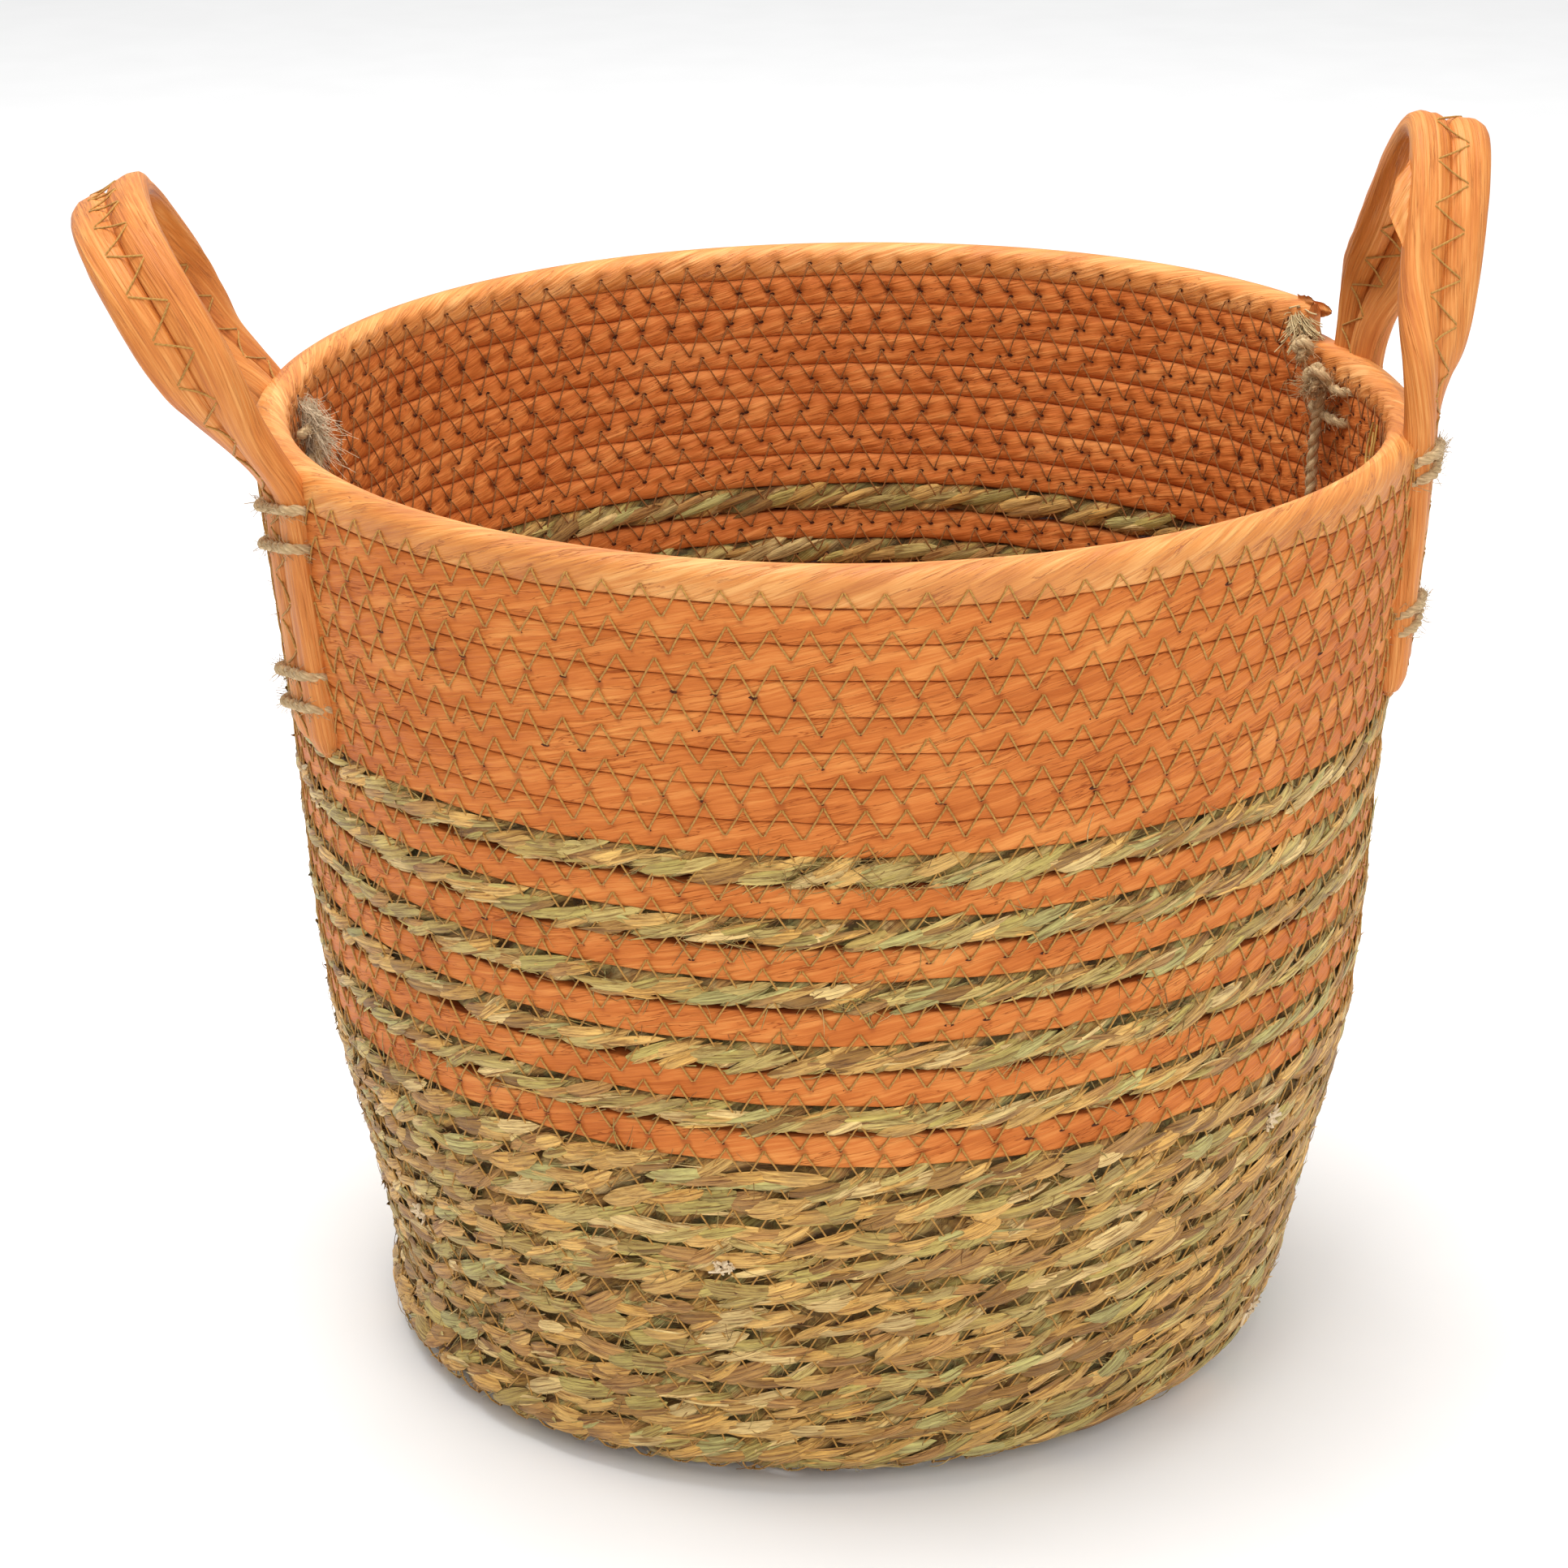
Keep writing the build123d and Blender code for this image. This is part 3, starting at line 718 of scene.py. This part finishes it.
grass = Soup()
for k, first in enumerate(GRASS_STRIPES):
    hairs(grass, first, first + 1, 420, 1, 240 + k, (2.5, 7), 0.8)
    hairs(grass, first, first + 1, 60, -1, 260 + k)
# turn, azimuth, half length in mm and number of fibres
SPLICES = ((33, 262.0, 20, 120), (31, 250.0, 8, 45), (27, 296.0, 8, 45), (29, 262.0, 10, 45))
for k, (first, az_deg, spread, count) in enumerate(SPLICES):
    middle = first + (END_AZ + TAU - math.radians(az_deg)) % TAU / TAU
    half_turn = spread / SPLICE_TURN
    hairs(grass, middle - half_turn, middle + half_turn, count, 1, 280 + k, (2.5, 8), 1.6)
stripe_fibres = grass.piece("grass_fibres_stripes", grass_mat)

grass = Soup()
grass_rope(grass, 12.0, GRASS_TURNS, 1.7, 20, GRASS_WEIGHT, 300, 1.0)
lower_wall = grass.piece("grass_rope_lower_wall", grass_mat)
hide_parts("grass_base_and_wall_rope")

grass = Soup()
scatter_leaves(grass, 12.6, GRASS_TURNS, 4.1, 1, GRASS_WEIGHT, 320, 0.8, 1.5)
scatter_leaves(grass, 13.5, GRASS_TURNS, 14.0, -1, GRASS_WEIGHT, 321, 0.7)
loose = grass.piece("grass_leaves_lower_wall", grass_mat)

grass = Soup()
hairs(grass, 13.0, GRASS_TURNS, 4600, 1, 322, (3, 9), 1.3)
hairs(grass, 14.0, GRASS_TURNS, 200, -1, 323)
fibres = grass.piece("grass_fibres_lower_wall", grass_mat)

pith = Soup()
gen = np.random.default_rng(350)
for first, az_deg in ((20.5, 249.0), (18.6, 240.5), (14.3, 253.0), (22.4, 279.0)):
    middle = first + ((END_AZ + TAU * 2 - math.radians(az_deg)) % TAU) / TAU - 0.5
    count = 16
    turn = middle + gen.normal(0, 1.3, count)[:, None] / LOW_TURN
    t = np.linspace(0, 1, 5)[None]
    way = gen.uniform(0, TAU, count)[:, None]
    size = gen.uniform(1.2, 3.2, count)[:, None]
    line = place(turn + size * t * np.cos(way) / LOW_TURN, edge(turn) + gen.normal(0, 1.0, count)[:, None]
                 + size * t * np.sin(way), HALF + 0.7 + gen.uniform(0.2, 1.6, count)[:, None] * t)
    tubes(pith, line, gen.uniform(0.35, 0.75, count)[:, None] * (1 - 0.5 * t), 6)
pith.piece("pith_bits", pith_mat)

grass = Soup()
grass_rope(grass, 0.55, 12.0, 2.2, 18, GRASS_WEIGHT, 340, 0.7)
base = grass.piece("grass_rope_base", grass_mat)


# ---- zig-zag thread, and painted shade for the needle holes
def thread_rows(soup, side, first, last):
    """The zig-zag thread from hole to hole between two turns, drawn down into each hole."""
    low = np.arange(len(STITCH)) % 2 == 0
    s = hole_s(STITCH, low)
    keep = (STITCH[:-1] >= first) & (STITCH[:-1] < last)
    if side > 0:
        keep &= edge(STITCH[:-1] + 0.5) > BASE_R + 6
    t = np.array([0.0, 0.07, 0.35, 0.65, 0.93, 1.0])[None]
    a, b = np.flatnonzero(keep), np.flatnonzero(keep) + 1
    jitter = rng.uniform(-0.35, 0.35, (len(a), 1))
    at = STITCH - (0 if side > 0 else SKEW) * ~low
    turn = at[a][:, None] * (1 - t) + at[b][:, None] * t
    up = s[a][:, None] * (1 - t) + s[b][:, None] * t + jitter * np.sin(math.pi * t)
    out = HALF + 0.36 + np.array([-1.1, -0.12, 0.0, 0.0, -0.12, -1.1])[None] + 0 * turn
    p = place(turn, up, side * out)
    tubes(soup, p, 0.225 if side > 0 else 0.20, 5)


def painted_hole_shades(soup, side):
    """Small dark ovals of painted shade standing in for the needle holes: at the low points of the zig-zag, and
    smaller ones at the high points.
    """
    i = np.linspace(-1, 1, 5)[None, :, None]
    j = np.linspace(-1, 1, 4)[None, None, :]
    for low in (True, False):
        turn = (LOW if low else HIGH)
        keep = edge(turn + 0.5) > (BASE_R + 10 if side > 0 else 60)
        turn = turn[keep] - (SKEW if side < 0 and not low else 0)
        n = len(turn)
        big = col(rng.uniform(0.7, 1.25, n)) * (1.0 if low or side < 0 else 0.6)
        a = (0.85 if side > 0 else 0.6) * big * i
        b = (0.33 if side > 0 else 0.36) * big * j * np.sqrt(1 - 0.98 * i**2)
        r = col(wall(edge(turn), 0)[0])
        s = col(hole_s(turn, low)) + b + col(rng.uniform(-0.2, 0.2, n))
        o = HALF + 0.12 - (0.40 if side > 0 else 0.6) * np.exp(-((a**2 + b**2) / 1.2))
        p = place(col(turn) + (a + 0.3) / (TAU * r), s, side * (o + 0 * a))
        soup.grids(p, ruv=vec(a, b + 0 * a, col(turn)))


for part, first, last in (("lower", 0, GRASS_TURNS), ("upper", GRASS_TURNS, 42)):
    for side_name, side, mat in (("outside", 1, thread_mat), ("inside", -1, shaded_thread_mat)):
        thread = Soup()
        thread_rows(thread, side, first, last)
        thread = thread.piece("zigzag_thread_%s_%s" % (side_name, part), mat)
        if side_name == "outside" and part == "upper":
            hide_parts("zigzag_stitching")
for side_name, side in (("outside", 1), ("inside", -1)):
    holes = Soup()
    painted_hole_shades(holes, side)
    holes.piece("painted_hole_shades_" + side_name, hole_shade_mat)


# ---- handles
HINGE_Z = 236.5
# azimuth, lean, height, half width, the two powers that round the arch, then how far out the loop, the front
# leg and the rear leg stand
HANDLES = {"right": (-5.6, 10.5, 56.4, 33.5, 1.28, 1.35, 129.8, -0.2, -1.6),
           "left": (183.0, 29.0, 53.2, 42.0, 0.77, 0.60, 138.4, 0.6, -3.0)}
SPAN, TIP_Z, LEG_R = 36.5, 166.0, 139.5         # half the way between the legs, their lower ends, their radius
STRAP_HALF, STRAP_OFF, STRAP_SIDE = 3.5, 4.5, 4.75      # half thickness, and offset and half width of a rope


def directions(az_deg):
    """Directions outward and sideways at an azimuth."""
    az = math.radians(az_deg)
    return np.array([math.cos(az), math.sin(az), 0]), np.array([-math.sin(az), math.cos(az), 0])


def outer_wall(z):
    """The wall's outer radius at a height."""
    s = np.interp(z, LINE[40:, 1], LENGTH[40:])
    return np.minimum(wall(s, HALF)[0], RIM_R)


def smooth_line(points, step=0.8, rounds=60):
    """A softened line through points, in even steps."""
    p = np.array(points, float)
    run = arc(p)
    p = pick(np.linspace(0, run[-1], int(run[-1] / step) + 1), run, p)
    soften(p, rounds)
    return p


def strap(side):
    """The strap's middle line and the directions across its width and out of its face."""
    azimuth_deg, lean_deg, top, wide_half, power_across, power_up, reach, front_out, rear_out = HANDLES[side]
    outward, tangent = directions(azimuth_deg)
    lean = math.radians(lean_deg)
    leg_angle = math.asin(SPAN / LEG_R)
    z = np.arange(TIP_Z, 229.0, 2)
    plus, minus = (rear_out, front_out) if side == "right" else (front_out, rear_out)
    leg, other = (np.stack([(outer_wall(z) + out) * math.cos(leg_angle), np.full(len(z), at), z], 1)
                  for out, at in ((plus, SPAN), (minus, -SPAN)))
    t = np.linspace(0.05, math.pi - 0.05, 200)
    rise = top * np.sin(t) ** power_up
    across = wide_half * np.sign(np.cos(t)) * np.abs(np.cos(t)) ** power_across
    share = ease(np.clip(rise / 24, 0, 1))
    across = across * share + SPAN * np.sign(np.cos(t)) * (1 - share)
    loop = np.stack([reach + rise * math.sin(lean), across, HINGE_Z + rise * math.cos(lean)], 1)
    loop = loop[rise > 4]
    local = np.vstack([leg, loop, other[::-1]])
    line = smooth_line(outward * local[:, :1] + tangent * local[:, 1:2] + UP * local[:, 2:])
    t = unit(np.gradient(line, axis=0))
    foot = ease(np.clip((line[:, 2] - HINGE_Z + 9) / 46, 0, 1))
    across = line @ tangent
    lean_out = outward * math.cos(lean) - UP * math.sin(lean)
    wall_dir = (tangent[None] * np.sign(across)[:, None] * math.cos(leg_angle)
                - outward[None] * math.sin(leg_angle))
    wide = unit(-wall_dir * (1 - foot)[:, None] + lean_out[None] * foot[:, None])
    wide = unit(wide - t * np.sum(wide * t, 1, keepdims=True))
    return line, t, wide, np.cross(t, wide)


def strap_rope(soup, strap_lines, offset, side_seed, cut_start, cut_end):
    """One paper rope of a strap, wide and flat, with long creases; its ends are cut on the slant."""
    line, t, wide, face = strap_lines
    run = arc(line)
    keep = (run > cut_start) & (run < run[-1] - cut_end)
    line, t, wide, face, run = (values[keep] for values in (line, t, wide, face, run))
    sides = 26
    phi = np.arange(sides) * TAU / sides
    power = 2.7
    square = 1 / (np.abs(np.cos(phi)) ** power + np.abs(np.sin(phi)) ** power) ** (1 / power)
    a = STRAP_SIDE * np.cos(phi) * square
    b = STRAP_HALF * np.sin(phi) * square
    grow = (1 + 0.03 * noise(run / 13, side_seed)[:, None]
            + 0.025 * noise(run[:, None] / 7 + phi * 3, side_seed + 1))
    ends = np.minimum(run - run[0], run[-1] - run)[:, None]
    grow = grow * np.clip(0.35 + 0.65 * np.sqrt(np.clip(ends / 4.5, 0, 1)), 0, 1)
    fold = 0.10 * np.sin(phi * 9 + 0.02 * run[:, None] + 1.5 * noise(run / 40, side_seed + 2)[:, None])
    p = (line[:, None] + wide[:, None] * (offset + a * grow + fold * np.cos(phi))[..., None]
         + face[:, None] * (b * grow + fold * np.sin(phi))[..., None])
    ruv = vec(run[:, None], phi * 4.4, side_seed * 1.0)
    # painted shade on the side of each strap rope that lies against the other rope
    groove_shade = np.clip(-np.sign(offset) * np.cos(phi) - 0.6, 0, 1) ** 1.5 * 1.3 + 0 * run[:, None]
    soup.grids(p, around=True, ruv=ruv, mark=vec(groove_shade, 0.0, 0.0))
    # the strap rope's ends take 0.4 of each channel of painted shade and light
    end_caps(soup, p, ruv, 0.6, t, mark=np.full(p.shape, 0.4))


def strap_seam(soup, strap_lines, side_seed):
    """Zig-zag seam over both faces of a strap."""
    line, _, wide, face = strap_lines
    run = arc(line)
    gen = np.random.default_rng(side_seed)
    stops = np.arange(5, run[-1] - 5, 5.3)
    stops = stops + gen.uniform(-0.4, 0.4, len(stops))
    share = np.array([0.0, 0.08, 0.3, 0.5, 0.7, 0.92, 1.0])
    high = STRAP_HALF + 0.22 + np.array([-1.0, -0.15, -0.38, -0.5, -0.38, -0.15, -1.0])
    for flip in (1, -1):
        lines = []
        for k in range(len(stops) - 1):
            at = stops[k] + (stops[k + 1] - stops[k]) * share
            swing = (1 if k % 2 else -1) * (1 - 2 * share) * 4.0
            c, w, f = (pick(at, run, values) for values in (line, wide, face))
            lines.append(c + w * swing[:, None] + f * (flip * high)[:, None])
        tubes(soup, np.array(lines), 0.26, 5)


for side in ("right", "left"):
    lines = strap(side)
    seed = 500 if side == "right" else 540
    for place_name, offset, extra in (("outer", STRAP_OFF, 1.5), ("inner", -STRAP_OFF, 0.0)):
        soup = Soup()
        strap_rope(soup, lines, offset, seed + (0 if offset > 0 else 9), extra, extra + 3)
        rope = soup.piece(side + "_handle_" + place_name + "_rope", strap_paper, None)
        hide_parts(side + "_loop_" + place_name + "_rope_wrap", side + "_loop_" + place_name + "_rope_core")
        if offset > 0:
            for end in ("front", "rear"):
                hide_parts(side + "_" + end + "_leg_wraps", side + "_" + end + "_leg_cores")
        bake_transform(rope)
    soup = Soup()
    strap_seam(soup, lines, seed + 20)
    seam = soup.piece(side + "_handle_seam", thread_mat, None)
    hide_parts(side + "_loop_seam", side + "_front_leg_seam", side + "_rear_leg_seam")
    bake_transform(seam)


# ---- twine lashings
def closed_line(points, radius, step=0.6):
    """An even closed line round the given corners."""
    p = [np.array(q, float) for q in points]
    n = len(p)
    out = []
    for k in range(n):
        a, b, c = p[k - 1], p[k], p[(k + 1) % n]
        u, v = unit(a - b), unit(c - b)
        cut = min(radius, 0.45 * np.linalg.norm(a - b), 0.45 * np.linalg.norm(c - b))
        for t in np.linspace(0, 1, 7):
            out.append((1 - t) ** 2 * (b + u * cut) + 2 * t * (1 - t) * b + t * t * (b + v * cut))
    out.append(out[0])
    out = np.array(out)
    run = arc(out)
    return pick(np.linspace(0, run[-1], int(run[-1] / step) + 1), run, out)


def plied(soup, line, radius, seed, fuzz=1.0):
    """Two-ply hairy twine along a line."""
    gen = np.random.default_rng(seed)
    run = arc(line)
    t = unit(np.gradient(line, axis=0))
    ref = np.array([0.3, 0.2, 1.0]) if np.abs(t[:, 2]).mean() < 0.7 else np.array([1.0, 0.2, 0.1])
    a = unit(np.cross(t, ref))
    b = np.cross(t, a)
    turn = run * TAU / 6.5 + 0.6 * noise(run / 5, seed)
    for k in (0, math.pi):
        swing = (np.cos(turn + k)[:, None] * a + np.sin(turn + k)[:, None] * b) * radius * 0.34
        thick = radius * (0.70 + 0.06 * noise(run / 2.3, seed + 3))
        tubes(soup, (line + swing)[None], thick[None], 8)
    count = int(run[-1] * 2.4 * fuzz)
    at = gen.uniform(0, run[-1], count)
    base, ahead = pick(at, run, line), pick(at, run, t)
    spread = unit(gen.normal(0, 1, (count, 3)))
    spread = unit(spread - ahead * np.sum(spread * ahead, 1, keepdims=True) * 0.9)
    size = gen.uniform(0.8, 3.4, count)[:, None, None]
    s = np.linspace(0, 1, 5)[None, :, None]
    away = (spread + ahead * gen.choice([-1, 1], (count, 1)) * gen.uniform(0.3, 2.0, (count, 1)))[:, None]
    away = away / np.linalg.norm(away, axis=2, keepdims=True)
    lines = base[:, None] + spread[:, None] * radius * 0.9 + away * size * s + ahead[:, None] * s**2 * size * 0.4
    tubes(soup, lines, gen.uniform(0.04, 0.08, count)[:, None], 3)


def tuft(soup, centre, out_dir, count, size, seed):
    """A frayed knot of fine fibres."""
    gen = np.random.default_rng(seed)
    start = centre + gen.normal(0, 1.2, (count, 3))
    way = unit(gen.normal(0, 0.5, (count, 3)) + out_dir)
    curl = gen.normal(0, 1, (count, 3))
    s = np.linspace(0, 1, 7)[None, :, None]
    long = gen.uniform(0.3, 1, (count, 1, 1)) * size
    lines = start[:, None] + way[:, None] * long * s + curl[:, None] * long * 0.35 * s**2
    tubes(soup, lines, np.full((count, 1), 0.06), 3)


def knot(soup, centre, across, size, seed):
    """A small overhand knot of twine."""
    t = np.linspace(0, TAU, 60)
    x, y, z = np.sin(t) + 2 * np.sin(2 * t), np.cos(t) - 2 * np.cos(2 * t), -np.sin(3 * t)
    out = unit(np.array([centre[0], centre[1], 0.0]))
    line = centre + (across * x[:, None] + UP * y[:, None] + out * z[:, None] * 1.3) * size / 3
    plied(soup, line, 1.15, seed, 2.0)


LASH_HALF_WIDTH = 10.4
# azimuth, how far out the leg stands, the wraps' slope and their depths below the rim
LASHINGS = {"right_front": (-20.8, -0.2, 1.3, [7.0, 9.4, 43.4, 45.8]),
            "right_rear": (9.6, -1.6, 0.9, [11, 18.5, 49, 56.5]),
            "left_rear": (167.8, -3.4, 0.9, [11, 18.5, 49, 56.5]),
            "left_front": (198.2, 0.6, 2.2, [9.4, 18.3, 48.2, 56.0])}
for name, (az_deg, leg_out, slope, depths) in LASHINGS.items():
    soup = Soup()
    outward, aside = directions(az_deg)
    seed = 700 + int(az_deg)
    inner_points = []
    for k, depth in enumerate(depths):
        z = HEIGHT - depth
        r = outer_wall(z)
        tilt = slope * (1 if k % 2 or name == "left_front" else -1)
        outer = outward * (r + leg_out + STRAP_HALF + 1.1) + UP * z
        inner = outward * (r - 2 * HALF - 1.6) + UP * (z - (6.0 if name == "right_front" else 0))
        broad = aside * LASH_HALF_WIDTH
        corners = [outer - broad - UP * tilt, outer + broad + UP * tilt, inner + broad * 0.9, inner - broad * 0.9]
        plied(soup, closed_line(corners, 4.0), 1.3, seed + k, 1.6)
        inner_points.append(inner)
    inside = np.stack([inner_points[0] * (1 - t) + inner_points[-1] * t - outward * 0.8
                       + aside * 1.5 * math.sin(5 * t) for t in np.linspace(0, 1, 90)])
    plied(soup, inside, 1.5, seed + 6)
    if name == "right_rear":
        knot(soup, inner_points[0] - outward * 2.6 + UP * 1.5, aside, 3.6, seed + 7)
        knot(soup, inner_points[0] - outward * 2.2 + aside * 9 + UP * 7.0, aside, 2.6, seed + 8)
        tuft(soup, inner_points[0] - outward * 2.5, -outward, 240, 5.0, seed)
    elif name == "left_rear":
        frayed = Soup()
        for drop in (0.0, 4.0, 8.0):
            spot = inner_points[0] + outward * 0.6 + aside * (1.5 - 0.3 * drop) + UP * (5.0 - drop)
            tuft(frayed, spot, -outward * 0.35 + aside * 0.1 - UP, 330, 7.5, seed + int(drop))
        frayed.piece("left_rear_frayed_twine", lit_tuft_mat)
    lash = soup.piece(name + "_twine", twine_mat)
    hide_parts(name + "_twine_lashing")

# ---- torn rope end on the rim, and loose bits
end = Soup()
gen = np.random.default_rng(900)
count = 150
t = np.linspace(0, 1, 8)[None]
fan = gen.normal(0, 1, (count, 2))
size = gen.uniform(3, 15, count)[:, None]
drop = gen.uniform(0.2, 1.0, count)[:, None]
turn = END_TURN - 0.006 + size * t * (1 - 0.45 * drop * t) / CUT_TURN
s = edge(np.full((count, 1), END_TURN)) + fan[:, :1] * (0.8 + 1.0 * t) - size * drop * 0.75 * t**1.6
o = fan[:, 1:] * (0.8 + 0.9 * t) - 1.6 - 4.2 * drop * t + 1.1 * np.sin(5 * t + 6 * drop) * t
tubes(end, place(turn, s, o), gen.uniform(0.10, 0.26, count)[:, None], 4)
end.piece("rim_end_straw", straw_mat)


def flap(soup, points, widths, directions, seed):
    """A torn strip of paper that curls at its edges.

    It is given by a middle line, and at each point of it the strip's width and the direction across.
    """
    p, across = np.array(points, float), unit(np.array(directions, float))
    t = np.linspace(0, 1, len(p))
    u = np.linspace(0, 1, 26)
    line = pick(u, t, p)
    soften(line, 12)
    side = unit(pick(u, t, across))
    wide = np.interp(u, t, widths) * (1 + 0.10 * noise(u * 9, seed))
    ahead = unit(np.gradient(line, axis=0))
    out = np.cross(ahead, side)
    j = np.linspace(-0.5, 0.5, 9)
    curl = 0.10 * np.cos(j * 9)[None] + 0.05 * noise(j[None] * 7 + u[:, None] * 3, seed + 1)
    across = wide[:, None] * j
    sheet = line[:, None] + side[:, None] * across[..., None] + out[:, None] * (wide[:, None] * curl)[..., None]
    run = arc(line)
    for lift, step in ((0.12, 1), (-0.12, -1)):
        ruv = vec(run[:, None], across[:, ::step], seed)
        soup.grids((sheet + out[:, None] * lift)[:, ::step], ruv=ruv, mark=0 * sheet)


torn = Soup()
# where each strip starts up the wall and outward, its length and how far it rises
STRIPS = ((1.5, 2.5, 11, 1.4), (-1.0, -3.0, 9, -3.5), (2.8, -1.0, 8, 2.2), (-2.5, 1.5, 7, -2.0))
for k, (low, out, size, rise) in enumerate(STRIPS):
    s_k = edge(END_TURN) + low + np.array([0, 0.3, 0.7, 1.0]) * rise
    turn_k = END_TURN - 0.008 + np.array([0, 0.35, 0.7, 1.0]) * size / CUT_TURN
    line = place(turn_k, s_k, out + np.array([0, 0.2, 0.1, -0.4]))
    lean_k = place(turn_k, s_k + 1, out + 0 * s_k) - place(turn_k, s_k, out + 0 * s_k)
    flap(torn, line, [4.6, 4.2, 3.0, 0.7], lean_k, 910 + k)
torn_paper = torn.piece("rim_end_torn_paper", rim_paper)

loop = Soup()
theta = np.linspace(0.3, TAU - 0.3, 40)
fall = np.linspace(0, 1, 40)
turns = TURNS + (END_DEG + 6.5 - 0.9 * np.sin(theta)) / 360
loop_s = COIL_END - 2.0 - 11 * np.sin(theta / 2) - 2 * fall
tubes(loop, place(turns, loop_s, -HALF - 0.7 - 1.2 * np.sin(theta / 2))[None], np.full((1, 40), 0.30), 6)
turns = TURNS + (END_DEG + 8.0 + 0.6 * np.sin(4 * fall)) / 360
hang = place(turns, COIL_END - 3 - 15 * fall, -HALF - 0.6 - 0.7 * np.sin(3 * fall))
tubes(loop, hang[None], np.full((1, 40), 0.26), 6)
loose_mat = plain_fibre_material("loose_yellow_thread", (196, 150, 66), (232, 196, 110))
loop.piece("loose_thread_loop", loose_mat)

line, _, wide, face = strap("right")
front_side = line[:, 1] < line[len(line) // 2, 1]
spots = [int(np.argmin(np.where(front_side, np.abs(line[:, 2] - z), 1e9))) for z in (287, 281, 274, 265)]
inner = np.array([line[i] - wide[i] * (STRAP_OFF + STRAP_SIDE - 1.4 + extra) + face[i] * 0.6
                  for i, extra in zip(spots, (-1.0, 1.2, 2.2, 0.2))])
leaf = Soup()
flap(leaf, inner, [1.2, 6.2, 7.0, 0.8], [wide[i] + 0.25 * face[i] for i in spots], 930)
leaf = leaf.piece("right_handle_paper_flap", rim_paper, "right_handle")

# ---- floor, light and camera
scene = bpy.context.scene
soup = Soup()
steps = np.linspace(-6000, 6000, 25)
x, y = np.meshgrid(steps, steps, indexing="ij")
soup.grids(vec(x, y, -0.05 + 0 * x), ruv=vec(x, y, 0))
floor_graph = Graph("pale_floor")
speck = floor_graph.noise(floor_graph.attr("ruv"), 0.02, 2)
shade = floor_graph.ramp(speck, (0.3, (0.93, 0.93, 0.93)), (0.7, (0.95, 0.95, 0.95)))
floor_mat = floor_graph.done(shade, 0.9, floor_graph.bump(speck, 0.02, 0.0001), 0.0, 0.0)
floor = soup.piece("studio_floor", floor_mat, None)

world = bpy.data.worlds.new("studio")
scene.world = world
world.use_nodes = True
background = world.node_tree.nodes["Background"]
background.inputs["Color"].default_value = (1, 1, 1, 1)
background.inputs["Strength"].default_value = 0.68


def softbox(name, where, aim, size, power):
    """A large soft light pointed at a place."""
    data = bpy.data.lights.new(name, "AREA")
    data.shape = "RECTANGLE"
    data.size, data.size_y = size
    data.energy = power
    obj = bpy.data.objects.new(name, data)
    obj.location = where
    obj.rotation_euler = (Vector(aim) - Vector(where)).to_track_quat("-Z", "Y").to_euler()
    scene.collection.objects.link(obj)


softbox("top_softbox", (-0.15, 0.15, 1.7), (0, 0, 0.1), (1.3, 1.3), 29)
softbox("front_softbox", (0.45, -1.8, 1.3), (0, 0, 0.12), (1.6, 1.2), 15)

camera = bpy.data.cameras.new("camera")
camera.sensor_width = 36
camera.lens = 89.41
camera.clip_end = 50
cam = bpy.data.objects.new("camera", camera)
HEADING, LOOK_DOWN, ROLL = -7.75, 21.33, -0.52
turned = Matrix.Rotation(math.radians(HEADING), 4, "Z") @ Matrix.Rotation(math.radians(90 - LOOK_DOWN), 4, "X")
cam.matrix_world = (Matrix.Translation((-0.13197, -0.87056, 0.47724)) @ turned
                    @ Matrix.Rotation(math.radians(ROLL), 4, "Z"))
scene.collection.objects.link(cam)
scene.camera = cam
scene.view_settings.view_transform = "Standard"
